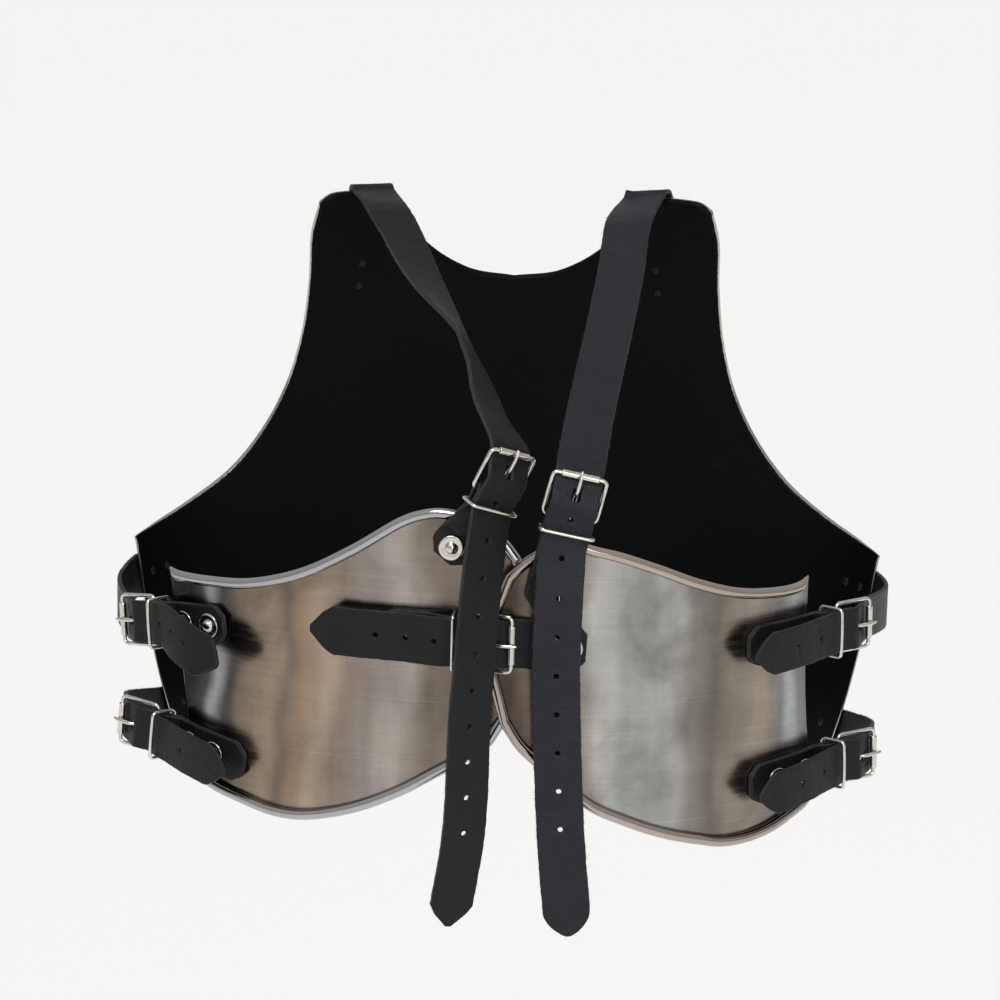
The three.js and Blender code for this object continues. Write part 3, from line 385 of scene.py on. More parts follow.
class Surface:
    """The middle surface of a plate; "flat" points are (distance round the body, height)."""

    hand = 1.0
    relief = 0.16
    seed = 3

    def bare(self, flat: Array) -> Array:
        """Points of the true surface."""
        raise NotImplementedError

    def slopes(self, flat: Array, place: Callable[[Array], Array]) -> tuple[Array, Array]:
        """How a surface runs round the body and upward, for each millimetre."""
        step = 0.4
        aside, up = np.array([step, 0.0]), np.array([0.0, step])
        return (
            (place(flat + aside) - place(flat - aside)) / (2 * step),
            (place(flat + up) - place(flat - up)) / (2 * step),
        )

    def outward(self, flat: Array, place: Callable[[Array], Array]) -> Array:
        """Outward directions of a surface."""
        around, up = self.slopes(flat, place)
        return unit(np.cross(around, up)) * self.hand

    def place(self, flat: Array) -> Array:
        """Points of the surface as it was beaten, with its slight unevenness."""
        height = self.relief * ripple(flat[:, 0], flat[:, 1], 85.0, self.seed)
        height += 0.3 * self.relief * ripple(flat[:, 0], flat[:, 1], 34.0, self.seed + 1)
        return self.bare(flat) + self.outward(flat, self.bare) * height[:, None]

    def spot(self, around: float, up: float, off: float) -> tuple[Array, Array]:
        """A point over the true surface, and the outward direction there."""
        flat = np.array([[around, up]])
        normal = self.outward(flat, self.bare)[0]
        return self.bare(flat)[0] + normal * off, normal

    def moved(self, flat: Array, way: Array) -> Array:
        """Flat points moved by directions that lie along the surface."""
        around, up = self.slopes(flat, self.place)
        aa, ab, bb = (np.sum(p * q, axis=1) for p, q in ((around, around), (around, up), (up, up)))
        wa, wb = np.sum(way * around, axis=1), np.sum(way * up, axis=1)
        det = aa * bb - ab * ab
        return flat + np.stack([(bb * wa - ab * wb) / det, (aa * wb - ab * wa) / det], axis=1)


@dataclass
class Bowl(Surface):
    """The breastplate's surface."""

    half: float = 217.5
    drop: float = 332.0
    arc: float = 155.0
    depth: float = 150.0
    sections: Array = field(default_factory=lambda: np.array([
        [-1.06, 0.952, -0.49, 0.8], [-0.904, 0.977, -0.587, 0.72], [-0.753, 1.007, -0.627, 0.567],
        [-0.602, 1.016, -0.607, 0.407], [-0.452, 0.993, -0.547, 0.467], [-0.301, 0.943, -0.44, 0.533],
        [-0.163, 0.851, -0.3, 0.567], [0, 0.736, -0.12, 0.493], [0.03, 0.713, -0.08, 0.467],
    ]))  # columns: height, half width, front and back of the bowl

    def wide(self, z: Any) -> Array:
        """Half the bowl's width at a height."""
        return self.half * smooth(self.sections, 1, np.asarray(z, float) / self.drop)

    def bare(self, flat: Array) -> Array:
        """Points of the true surface."""
        turn, z = flat[:, 0] / self.arc, flat[:, 1]
        front = self.depth * smooth(self.sections, 2, z / self.drop)
        back = self.depth * smooth(self.sections, 3, z / self.drop)
        return np.stack([self.wide(z) * np.sin(turn), back - (back - front) * np.cos(turn), z], axis=1)

    def around(self, x: Any, z: Any) -> Array:
        """The distance round the body of a point at x."""
        return np.arcsin(np.clip(x / self.wide(z), -0.999, 0.999)) * self.arc

    def flat(self, shares: Array) -> Array:
        """Flat points from shares of the half width and of the drop."""
        z = shares[:, 1] * self.drop
        return np.stack([self.around(shares[:, 0] * self.half, z), z], axis=1)


@dataclass
class Plan(Surface):
    """A back plate's surface: part of an ellipse in plan, run on straight past the plate's side edge."""

    wide: float
    deep: float
    back: float
    reach: float
    top: float
    drop: float
    seed: int = 11
    hand: float = -1.0

    def __post_init__(self) -> None:
        """Works out the ellipse's length by its angle."""
        steps, most = 600, math.radians(75)
        self.angles = np.linspace(0, most, steps + 1)
        middle = (self.angles[1:] + self.angles[:-1]) / 2
        speed = np.hypot(self.wide * np.cos(middle), self.deep * np.sin(middle))
        self.table = np.concatenate([[0.0], np.cumsum(speed) * most / steps])

    def bare(self, flat: Array) -> Array:
        """Points of the true surface."""
        sign = np.where(flat[:, 0] < 0, -1.0, 1.0)
        inside = np.minimum(np.abs(flat[:, 0]), self.reach)
        a = np.interp(inside, self.table, self.angles)
        run = unit(np.stack([self.wide * np.cos(a), -self.deep * np.sin(a)], axis=1))
        past = (np.abs(flat[:, 0]) - inside)[:, None]
        spot = np.stack([self.wide * np.sin(a), self.back - self.deep + self.deep * np.cos(a)], axis=1)
        spot = spot + run * past
        return np.stack([sign * spot[:, 0], spot[:, 1], flat[:, 1]], axis=1)

    def over(self, around: Array, up: Array, off: Array) -> Array:
        """Points over the true surface."""
        around, up, off = np.broadcast_arrays(np.asarray(around, float), up, off)
        flat = np.stack([around.ravel(), up.ravel()], axis=1)
        points = self.bare(flat) + self.outward(flat, self.bare) * off.reshape(-1, 1)
        return points.reshape(around.shape + (3,))

    def flat(self, shares: Array, hand: Hand) -> Array:
        """Flat points from shares of the reach and of the drop."""
        return np.stack([hand.value * shares[:, 0] * self.reach, self.top - shares[:, 1] * self.drop], axis=1)


LEFT_PLAN = Plan(wide=223, deep=176, back=210, reach=212.5, top=-139.6, drop=183.2, seed=11)
RIGHT_PLAN = Plan(wide=215, deep=187, back=217, reach=198, top=-154.3, drop=178.5, seed=23)
BOWL = Bowl()


@dataclass
class Side:
    """One side of a plate's outline, in flat points."""

    line: Array
    roll: float = 1.0
    run_in: float = 0.0
    run_out: float = 0.0
    paint: float = -80.0


@dataclass
class RolledPlate:
    """Sheet steel with rolled edges, bright outside and painted black inside."""

    surface: Surface
    sides: list[Side]
    rim_step: float = 2.2
    grid: float = 3.6
    bead_steps: int = 14

    def rim(self) -> tuple[Array, Array, Array]:
        """The whole outline as even flat points, with how far each is rolled and painted."""
        flats, rolls, paints = [], [], []
        for side in self.sides:
            spots = self.surface.place(side.line)
            run = np.concatenate([[0.0], np.cumsum(np.linalg.norm(np.diff(spots, axis=0), axis=1))])
            count = max(3, round(run[-1] / self.rim_step))
            at = np.linspace(0, run[-1], count + 1)[:-1]
            flats.append(np.stack([np.interp(at, run, side.line[:, k]) for k in (0, 1)], axis=1))
            roll = np.full(count, side.roll)
            if side.run_in:
                roll *= smoothstep(at, 0, side.run_in)
            if side.run_out:
                roll *= smoothstep(run[-1] - at, 0, side.run_out)
            rolls.append(roll)
            paints.append(np.full(count, side.paint))
        return np.vstack(flats), np.concatenate(rolls), np.concatenate(paints)

    def sheet(self, contour: Array) -> tuple[Array, list[Sequence[int]], dict[int, int]]:
        """Fills a contour with triangles.

        Args:
            contour: The closed contour's flat points.

        Returns:
            All flat points, the triangles, and each contour point's place among the points.
        """
        low, high = contour.min(axis=0), contour.max(axis=0)
        rows = np.arange(low[1], high[1], self.grid * 0.87)
        inside: list[Array] = []
        after = np.roll(contour, -1, axis=0)
        run = after - contour
        for j, z in enumerate(rows):
            x = np.arange(low[0] + (j % 2) * self.grid / 2, high[0], self.grid)
            spots = np.stack([x, np.full_like(x, z)], axis=1)
            rel = spots[:, None, :] - contour[None, :, :]
            t = np.clip(np.sum(rel * run, axis=2) / np.sum(run * run, axis=1), 0, 1)
            gap = np.linalg.norm(rel - t[:, :, None] * run, axis=2).min(axis=1)
            crossed = (contour[:, 1] > z) != (after[:, 1] > z)
            slope = np.where(crossed, run[:, 0] / np.where(run[:, 1] == 0, 1, run[:, 1]), 0)
            at = contour[:, 0] + (z - contour[:, 1]) * slope
            hits = np.sum(crossed & (at > spots[:, :1]), axis=1)
            inside.extend(spots[(hits % 2 == 1) & (gap > self.grid * 0.55)])
        every = np.vstack([contour, inside])
        count = len(contour)
        edges = [(k, (k + 1) % count) for k in range(count)]
        points, _, faces, origins, _, _ = delaunay_2d_cdt(
            [Vector(p) for p in every.tolist()], edges, [], 1, 1e-6)
        where = {first: k for k, origin in enumerate(origins) for first in origin if first < count}
        return np.array([p[:] for p in points]), [list(f) for f in faces], where

    def shape(self) -> Shape:
        """Builds both faces and the rolled edge between them."""
        surface, steps = self.surface, self.bead_steps
        flat, roll, paint = self.rim()
        for _ in range(3):
            roll = (np.roll(roll, 1) + 2 * roll + np.roll(roll, -1)) / 4
            paint = (np.roll(paint, 1) + 2 * paint + np.roll(paint, -1)) / 4
        roll[roll < 0.02] = 0
        spot = surface.place(flat)
        into = unit(spot - np.roll(spot, 1, axis=0))
        along = unit(into + np.roll(into, -1, axis=0))
        out = unit(np.cross(along, surface.outward(flat, surface.place)))
        if np.sum(out * (spot - spot.mean(axis=0))) < 0:
            out = -out
        radius = mix(STEEL / 2, BEAD_RADIUS, roll)
        back = np.sqrt(np.maximum(radius**2 - (radius - STEEL) ** 2, 0))
        foot = surface.moved(flat, -out * radius[:, None])
        heel = surface.moved(flat, -out * (radius + back)[:, None])
        normal = surface.outward(foot, surface.place)
        out = unit(out - normal * np.sum(out * normal, axis=1, keepdims=True))
        centre = surface.place(foot) + normal * (radius - STEEL / 2)[:, None]
        end = math.pi + np.arcsin(np.clip((radius - STEEL) / radius, -1, 1))
        angle = -math.pi / 2 + (end + math.pi / 2)[:, None] * (np.arange(steps + 1) / steps)
        way = out[:, None, :] * np.cos(angle)[:, :, None] + normal[:, None, :] * np.sin(angle)[:, :, None]
        ring = centre[:, None, :] + way * radius[:, None, None]

        inner_flat, inner_faces, inner_at = self.sheet(foot)
        outer_flat, outer_faces, outer_at = self.sheet(heel)
        inner_normal = surface.outward(inner_flat, surface.place)
        outer_normal = surface.outward(outer_flat, surface.place)
        inner = surface.place(inner_flat) - inner_normal * STEEL / 2
        outer = surface.place(outer_flat) + outer_normal * STEEL / 2
        count, first, second = len(flat), len(inner), len(inner) + len(outer)
        middle = ring[:, 1:steps, :]
        points = np.vstack([inner, outer, middle.reshape(-1, 3)])
        normals = np.vstack([-inner_normal, outer_normal, way[:, 1:steps, :].reshape(-1, 3)])
        reach = np.degrees(angle[:, 1:steps])
        ring_paint = np.clip((paint[:, None] - reach) / 24 + 0.5, 0, 1).ravel()
        painted = np.concatenate([np.ones(first), np.zeros(len(outer)), ring_paint])
        uv = np.vstack([inner_flat, outer_flat, np.repeat(flat, steps - 1, axis=0)])

        faces = inner_faces + [[k + first for k in face] for face in outer_faces]

        def at(k: int, s: int) -> int:
            """The number of a point of the rolled edge."""
            if s == 0:
                return inner_at[k]
            if s == steps:
                return first + outer_at[k]
            return second + k * (steps - 1) + s - 1

        for k in range(count):
            after = (k + 1) % count
            faces += [[at(k, s), at(after, s), at(after, s + 1), at(k, s + 1)] for s in range(steps)]
        on_rim = np.concatenate([np.zeros(second), np.ones(count * (steps - 1))])
        return Shape(points, faces, uv, {"paint": painted, "rim": on_rim}, normals)


# Outlines in shares: of the half width and the drop, or of the reach and the drop below the top
TAB_TOP = [[0.519, -0.018], [0.49, -0.004], [0.446, 0], [0.368, 0], [0.328, -0.004]]
NECKLINE = [[0.328, -0.004], [0.3, -0.036], [0.237, -0.1], [0.124, -0.15], [0, -0.164]]
ARMHOLE = [
    [0.519, -0.018], [0.541, -0.075], [0.549, -0.163], [0.57, -0.265], [0.611, -0.364],
    [0.674, -0.449], [0.763, -0.523], [0.876, -0.574], [0.952, -0.595], [1, -0.602],
]
BREAST_SIDE = [[1, -0.602], [0.979, -0.696], [0.949, -0.8], [0.88, -0.978]]
BREAST_BOTTOM = [[0.88, -0.978], [0.45, -0.995], [0, -1], [-0.45, -0.995], [-0.88, -0.978]]
LEFT_OUTLINE = {
    "top": [
        [1, 0.303], [0.936, 0.302], [0.821, 0.293], [0.69, 0.274], [0.539, 0.219], [0.402, 0.132],
        [0.273, 0.034], [0.221, 0.009], [0.172, 0], [0.094, 0.016], [0.007, 0.079], [-0.033, 0.135],
    ],
    "lobe": [[-0.033, 0.135], [-0.078, 0.26], [-0.092, 0.389], [-0.07, 0.53], [0, 0.667]],
    "bottom": [
        [0.892, 0.923], [0.807, 0.959], [0.713, 0.981], [0.619, 1], [0.529, 0.999], [0.391, 0.959],
        [0.259, 0.89], [0.155, 0.817], [0.035, 0.727], [0, 0.667],
    ],
    "side": [[1, 0.303], [0.935, 0.62], [0.892, 0.923]],
}
RIGHT_OUTLINE = {
    "top": [
        [0.942, 0.178], [0.891, 0.189], [0.813, 0.192], [0.672, 0.176], [0.543, 0.135], [0.422, 0.082],
        [0.306, 0.036], [0.25, 0.02], [0.182, 0], [0.114, 0.003], [0.086, 0.024], [0.035, 0.063],
        [-0.003, 0.107],
    ],
    "lobe": [
        [-0.003, 0.107], [-0.018, 0.148], [-0.048, 0.248], [-0.058, 0.358], [-0.028, 0.494], [-0.008, 0.574],
    ],
    "bottom": [
        [1, 0.907], [0.912, 0.946], [0.813, 0.984], [0.722, 1], [0.639, 0.999], [0.573, 0.984],
        [0.449, 0.947], [0.331, 0.896], [0.245, 0.851], [0.162, 0.779], [0.088, 0.706], [0.035, 0.648],
        [-0.008, 0.574],
    ],
    "side": [[0.942, 0.178], [0.95, 0.545], [1, 0.907]],
}


def traced(rows: Sequence[Sequence[float]], flip: bool = False, back: bool = False) -> Array:
    """A dense line through rows of shares.

    Args:
        rows: The rows.
        flip: Whether to mirror it to the other side of the body.
        back: Whether to run it from its end to its start.

    Returns:
        Dense points in shares.
    """
    line = Spline(rows)
    points = line.at(line.even(240))
    if flip:
        points = points * np.array([-1, 1])
    return points[::-1] if back else points


@dataclass
class Breastplate:
    """The front plate: a bowl with rolled edges all round but for its raw side edges."""

    finish: bpy.types.Material
    armhole_run: float = 46.0
    bottom_run: float = 20.0

    def build(self) -> None:
        """Makes the plate and hands it over."""
        lay = BOWL.flat
        sides = [
            Side(lay(traced(TAB_TOP)), paint=0),
            Side(lay(traced(NECKLINE)), paint=35),
            Side(lay(traced(NECKLINE, flip=True, back=True)), paint=35),
            Side(lay(traced(TAB_TOP, flip=True, back=True)), paint=0),
            Side(lay(traced(ARMHOLE, flip=True)), run_out=self.armhole_run, paint=-25),
            Side(lay(traced(BREAST_SIDE, flip=True)), roll=0),
            Side(lay(traced(BREAST_BOTTOM, back=True)), run_in=self.bottom_run, run_out=self.bottom_run),
            Side(lay(traced(BREAST_SIDE, back=True)), roll=0),
            Side(lay(traced(ARMHOLE, back=True)), run_in=self.armhole_run, paint=-25),
        ]
        shape = RolledPlate(BOWL, sides, grid=4.2).shape()
        settle(shape.piece("dressed_breastplate", self.finish), "steel", "breastplate")


@dataclass
class BackPlate:
    """A back plate: rolled at its top, lobe and bottom, raw at its side."""

    hand: Hand
    plan: Plan
    outline: dict[str, list[list[float]]]
    finish: bpy.types.Material
    run: float = 9.0

    def build(self) -> None:
        """Makes the plate and hands it over."""
        def lay(name: str, back: bool = False) -> Array:
            """A side of the outline as flat points."""
            return self.plan.flat(traced(self.outline[name], back=back), self.hand)

        sides = [
            Side(lay("top"), run_in=self.run),
            Side(lay("lobe")),
            Side(lay("bottom", back=True), run_out=self.run),
            Side(lay("side", back=True), roll=0),
        ]
        name = f"back_plate_{self.hand.name.lower()}"
        shape = RolledPlate(self.plan, sides).shape()
        settle(shape.piece(f"dressed_{name}", self.finish), "steel", name)


# Leather


@dataclass
class Hole:
    """A hole in a strap: where it is and half its length and width."""

    at: float
    length: float
    width: float


@dataclass
class Track:
    """The line that a strip follows, as even points with the strip's own directions."""

    points: Array
    wide: Array
    normal: Array
    at: Array

    def lift(self, s: Array, w: Array, n: Array) -> Array:
        """Takes (along, across, off) to its place."""
        def read(rows: Array) -> Array:
            """Reads rows at each distance along."""
            return np.stack([np.interp(s, self.at, rows[:, k]) for k in range(3)], axis=1)

        return read(self.points) + unit(read(self.wide)) * w[:, None] + unit(read(self.normal)) * n[:, None]

    @property
    def length(self) -> float:
        """The strip's whole length."""
        return float(self.at[-1])

    def nearest(self, point: Array) -> float:
        """The distance along the strip that is nearest to a point."""
        return float(self.at[np.argmin(np.linalg.norm(self.points - point, axis=1))])


def track(points: Sequence[Array], wides: Sequence[Array], step: float = 0.8) -> Track:
    """Follows stations smoothly.

    Args:
        points: The stations' places.
        wides: The direction across the strip at each station.
        step: Distance between two points of the track.

    Returns:
        The track.
    """
    line = Spline(points)
    count = int(line.run[-1] / step) + 1
    share = line.even(count)
    k = np.clip(np.floor(share).astype(int), 0, line.count - 2)
    part = (share - k)[:, None]
    wides = np.asarray(wides, float)
    wide = unit(wides[k] * (1 - part) + wides[k + 1] * part)
    along = line.along(share)
    wide = unit(wide - along * np.sum(wide * along, axis=1, keepdims=True))
    return Track(line.at(share), wide, np.cross(along, wide), np.linspace(0, line.run[-1], count))


@dataclass
class Strip:
    """A strip of leather cut from a flat pattern, with punched holes, creases and softened edges."""

    track: Track
    width: float
    thick: float
    start: list[list[float]]
    tip: list[list[float]]
    holes: list[Hole] = field(default_factory=list)
    creases: float = 0.0
    seed: int = 1
    step: float = 1.6
    patch: float = 5.4
    divisions: int = 8
    edge_rows: tuple[float, ...] = (0.0, 0.22, 0.6, 1.3)
    soften: float = 0.6

    def half(self, s: Array) -> Array:
        """Half the strip's width along it."""
        full = self.width / 2
        start = np.interp(s, *(np.array(self.start).T * [[self.width], [1.0]]))
        tip = np.interp(self.track.length - s, *(np.array(self.tip).T * [[self.width], [1.0]]))
        return full * np.minimum(start, tip)

    def rows(self) -> tuple[Array, list[tuple[int, int]]]:
        """Distances of the pattern's rows, and the first and last row of each hole's patch."""
        length = self.track.length
        breaks = list(self.edge_rows) + [length - e for e in self.edge_rows]
        spans = []
        for hole in self.holes:
            reach = max(self.patch, hole.length + 2.2)
            spans.append((hole.at - reach, hole.at + reach))
            breaks += list(np.linspace(*spans[-1], self.divisions + 1))
        breaks = sorted(breaks)
        rows: list[float] = []
        for a, b in zip(breaks, breaks[1:]):
            if b - a < 1e-6:
                continue
            parts = max(1, math.ceil((b - a) / self.step - 1e-6))
            rows += list(np.linspace(a, b, parts + 1)[:-1])
        rows.append(breaks[-1])
        made = np.array(rows)
        return made, [(int(np.abs(made - a).argmin()), int(np.abs(made - b).argmin())) for a, b in spans]

    def pattern(self) -> tuple[Array, list[Sequence[int]]]:
        """The flat pattern's points (along, across) and its faces."""
        full = self.width / 2
        rows, spans = self.rows()
        inner = np.linspace(-self.patch, self.patch, self.divisions + 1)
        side = np.linspace(self.patch, full - self.edge_rows[-1], 4)[1:]
        side = np.concatenate([side, [full - e for e in self.edge_rows[-2::-1]]])
        columns = np.concatenate([-side[::-1], inner, side])
        near = len(side)
        far = near + self.divisions
        wide = len(columns)
        half = self.half(rows) / full
        grid = np.stack(np.meshgrid(rows, columns, indexing="ij"), axis=-1)
        grid[:, :, 1] *= half[:, None]
        points = list(grid.reshape(-1, 2))
        faces: list[Sequence[int]] = []
        for i in range(len(rows) - 1):
            holed = any(a <= i < b for a, b in spans)
            for j in range(wide - 1):
                if holed and near <= j < far:
                    continue
                k = i * wide + j
                faces.append([k, k + 1, k + wide + 1, k + wide])
        for hole, (a, b) in zip(self.holes, spans):
            loop = [a * wide + j for j in range(near, far)] + [i * wide + far for i in range(a, b)]
            loop += [b * wide + j for j in range(far, near, -1)] + [i * wide + near for i in range(b, a, -1)]
            outer = np.array([points[k] for k in loop])
            away = outer - [hole.at, 0]
            angle = np.arctan2(away[:, 1] / self.patch, away[:, 0] / np.abs(away[:, 0]).max())
            power = 1.0 if hole.length == hole.width else 0.5
            x, y = np.cos(angle), np.sin(angle)
            rim = np.stack([
                hole.at + hole.length * np.sign(x) * np.abs(x) ** power,
                hole.width * np.sign(y) * np.abs(y) ** power,
            ], axis=1)
            gap = np.linalg.norm(outer - rim, axis=1)
            before = []
            for e in self.edge_rows:
                ring = mix(rim, outer, np.minimum(e / gap, 0.75)[:, None])
                before.append(list(range(len(points), len(points) + len(loop))))
                points += list(ring)
            before.append(loop)
            for inside, outside in zip(before, before[1:]):
                for k in range(len(loop)):
                    n = (k + 1) % len(loop)
                    faces.append([inside[k], inside[n], outside[n], outside[k]])
        used = sorted({k for face in faces for k in face})
        rename = {k: n for n, k in enumerate(used)}
        return np.array([points[k] for k in used]), [[rename[k] for k in face] for face in faces]

    def relief(self, s: Array, w: Array) -> Array:
        """How far creases push the leather off its track."""
        draw = np.random.default_rng(self.seed)
        length = self.track.length
        total = 0.05 * ripple(s, w, 9.0, self.seed + 5)
        for _ in range(int(length / 7 * self.creases)):
            at, lean = draw.uniform(12, length - 6), draw.normal(0, 0.14)
            wide, depth = draw.uniform(0.5, 1.3), draw.uniform(0.05, 0.2)
            middle, reach = draw.uniform(-1, 1) * self.width / 2, draw.uniform(4, 14)
            fade = np.exp(-((w - middle) ** 2) / (2 * reach**2))
            total = total - depth * fade * np.exp(-((s - at - lean * w) ** 2) / (2 * wide**2))
        return total

    def shape(self) -> Shape:
        """Builds both faces and the cut edges."""
        flat, faces = self.pattern()
        count: dict[tuple[int, int], int] = {}
        order: dict[tuple[int, int], tuple[int, int]] = {}
        for face in faces:
            for a, b in zip(face, [*face[1:], face[0]]):
                key = (min(a, b), max(a, b))
                count[key] = count.get(key, 0) + 1
                order[key] = (a, b)
        cuts = [order[key] for key, n in count.items() if n == 1]
        a, b = flat[[c[0] for c in cuts]], flat[[c[1] for c in cuts]]
        gap = np.full(len(flat), 1e9)
        foot = np.zeros_like(flat)
        for first in range(0, len(flat), 800):
            part = slice(first, first + 800)
            rel = flat[part][:, None, :] - a
            run = b - a
            t = np.clip(np.sum(rel * run, axis=2) / np.maximum(np.sum(run * run, axis=1), 1e-9), 0, 1)
            off = np.linalg.norm(rel - t[:, :, None] * run, axis=2)
            gap[part] = off.min(axis=1)
        s, w = flat[:, 0].copy(), flat[:, 1].copy()
        ragged = 0.13 * ripple(s, w * 0.3, 5.0, self.seed + 9) + 0.05 * ripple(s, w, 1.7, self.seed + 10)
        outer = np.abs(w) > self.half(s) - 1.4
        w = w + np.where(outer, ragged * np.clip(1 - gap / 1.4, 0, 1), 0)
        q = np.clip(gap / self.soften, 0, 1)
        round_off = self.soften * (1 - np.sqrt(np.clip(1 - (1 - q) ** 2, 0, 1)))
        crease = self.relief(s, w)
        half = self.thick / 2
        top = self.track.lift(s, w, half - round_off + crease)
        bottom = self.track.lift(s, w, -half + round_off + crease)
        rim = sorted({k for cut in cuts for k in cut})
        rank = {k: n for n, k in enumerate(rim)}
        edge = self.track.lift(s[rim], w[rim], crease[rim])
        total = len(flat)
        made = list(faces) + [[k + total for k in face[::-1]] for face in faces]
        for p, q_ in cuts:
            m, n = 2 * total + rank[p], 2 * total + rank[q_]
            made += [[p, m, n, q_], [m, p + total, q_ + total, n]]
        uv = np.vstack([flat, flat + [0, 60.0], flat[rim] + [0, 30.0]])
        wear = np.clip(1 - gap / 1.1, 0, 1)
        marks = {"edge": np.concatenate([wear, wear, np.full(len(rim), 1.6)])}
        self.cut_line = [(s[k], w[k], crease[k]) for k in rim if abs(w[k]) > self.patch]
        return Shape(np.vstack([top, bottom, edge]), made, uv, marks)


POINTED = [[0.0, 0.12], [0.28, 0.72], [0.5, 1.0]]
OGIVE = [[0.0, 0.1], [0.05, 0.3], [0.14, 0.55], [0.27, 0.78], [0.4, 0.93], [0.55, 1.0]]
CLIPPED = [[0.0, 0.55], [0.2, 1.0]]


# Buckle sets


@dataclass
class BuckleSet:
    """A roller buckle, its keeper, and the chape that holds both to a back plate."""

    name: str
    plan: Plan
    arc: float
    z: float
    heading: float
    lift: float
    tilt: float
    width: float
    chape: float
    lift_end: tuple[float, float]
    rivets: tuple[float, ...]
    puff: float = 2.4
    slant: float = 0.0
    yaw: float = 0.0
    yaw_end: tuple[float, float] = (6.0, 24.0)
    seed: int = 1

    def turn(self, along: Any) -> Any:
        """The set's turn about the strap, in radians; it fades out where the chape meets the plate."""
        return math.radians(self.yaw) * (1 - smoothstep(np.asarray(along, float), *self.yaw_end))

    def over(self, along: Any, aside: Any, off: Any) -> Array:
        """Takes (along the strap, across it, off the plate) to its place on the curved plate."""
        c, s = math.cos(math.radians(self.heading)), math.sin(math.radians(self.heading))
        along, aside, off = np.broadcast_arrays(np.asarray(along, float), aside, off)
        turn, above = self.turn(along), off - self.bar_up
        across = aside * np.cos(turn) + above * np.sin(turn)
        up = self.bar_up - aside * np.sin(turn) + above * np.cos(turn)
        return self.plan.over(self.arc + along * c + across * s, self.z + along * s - across * c, up)

    def rigid(self, at: float = 0.0) -> Place:
        """A flat frame at one spot of the plate, for pieces that keep their shape."""
        origin = self.over(at, 0, self.bar_up)
        along = unit(self.over(at + 0.5, 0, self.bar_up) - self.over(at - 0.5, 0, self.bar_up))
        reach = self.arc + at * math.cos(math.radians(self.heading))
        plain = self.plan.spot(reach, self.z, 0)[1]
        turn = float(self.turn(at))
        level = unit(np.cross(plain, along))
        normal = plain * math.cos(turn) + level * math.sin(turn)
        wide = level * math.cos(turn) - plain * math.sin(turn)

        def place(s: Any, w: Any, n: Any) -> Array:
            """Takes (along, across, off) to its place."""
            s, w, n = np.broadcast_arrays(np.asarray(s, float), w, n)
            rise = (n - self.bar_up)[..., None]
            return origin + along * (s - at)[..., None] + wide * w[..., None] + normal * rise

        return place

    def lifted(self, along: Any) -> Any:
        """How far the chape is held off the plate."""
        return self.lift * (1 - smoothstep(np.asarray(along, float), *self.lift_end))

    @property
    def bar_up(self) -> float:
        """Height of the hinge bar."""
        return BAR_UP + self.lift

    @property
    def frame_half(self) -> float:
        """Half the frame's width."""
        return self.width / 2 + CLEAR + FRAME_ROOM + WIRE

    @property
    def roller(self) -> tuple[float, float]:
        """The roller bar's place: along, and off the plate."""
        tilt = math.radians(self.tilt)
        return -FRAME_LENGTH * math.cos(tilt), self.bar_up + FRAME_LENGTH * math.sin(tilt)

    def in_frame(self, distance: float, height: float) -> tuple[float, float]:
        """Takes (distance from the hinge bar, height over the frame) to (along, off the plate)."""
        c, s = math.cos(math.radians(self.tilt)), math.sin(math.radians(self.tilt))
        return height * s - distance * c, self.bar_up + distance * s + height * c

    def strap_over(self) -> list[tuple[float, float]]:
        """The strap's middle over the buckle, from under the roller to past the keeper."""
        slab_top = SEAT + SLAB + CLEAR + STRAP / 2 + self.lift
        high = NOSE + CLEAR + STRAP / 2
        return [
            self.in_frame(FRAME_LENGTH + 0.3, -ROLLER - CLEAR - STRAP / 2 - 1.5),
            self.in_frame(FRAME_LENGTH * 0.71, 0.6),
            self.in_frame(FRAME_LENGTH * 0.42, high + 1),
            (0.0, self.bar_up + high + 0.5),
            (KEEPER_AT, slab_top + self.puff),
            (KEEPER_AT * 2.1, slab_top + self.puff + (3 if self.yaw else 0.4)),
        ]

    def stations(self) -> tuple[list[Array], list[Array]]:
        """The strap's stations over the buckle, and the directions across it."""
        rigid = self.rigid()
        across = unit(rigid(0, 1, 0) - rigid(0, -1, 0))
        points = []
        for i, (s, n) in enumerate(self.strap_over()):
            points.append(rigid(s, 0, n) if i <= AT_BAR or self.yaw else self.over(s, 0, n))
        return points, [across] * len(points)

    def frame_shape(self) -> Shape:
        """The wire frame, with rounded corners."""
        place, half, tilt = self.rigid(), self.frame_half, math.radians(self.tilt)
        plan = np.array([[0, half], [FRAME_LENGTH, half], [FRAME_LENGTH, -half], [0, -half]], float)
        loop = rounded(plan, 3.2)
        d = loop[:, 0]
        line = place(-d * math.cos(tilt), loop[:, 1], self.bar_up + d * math.sin(tilt))
        up = place(math.sin(tilt), 0, math.cos(tilt)) - place(0, 0, 0)
        return tube(line, WIRE, up, closed=True)

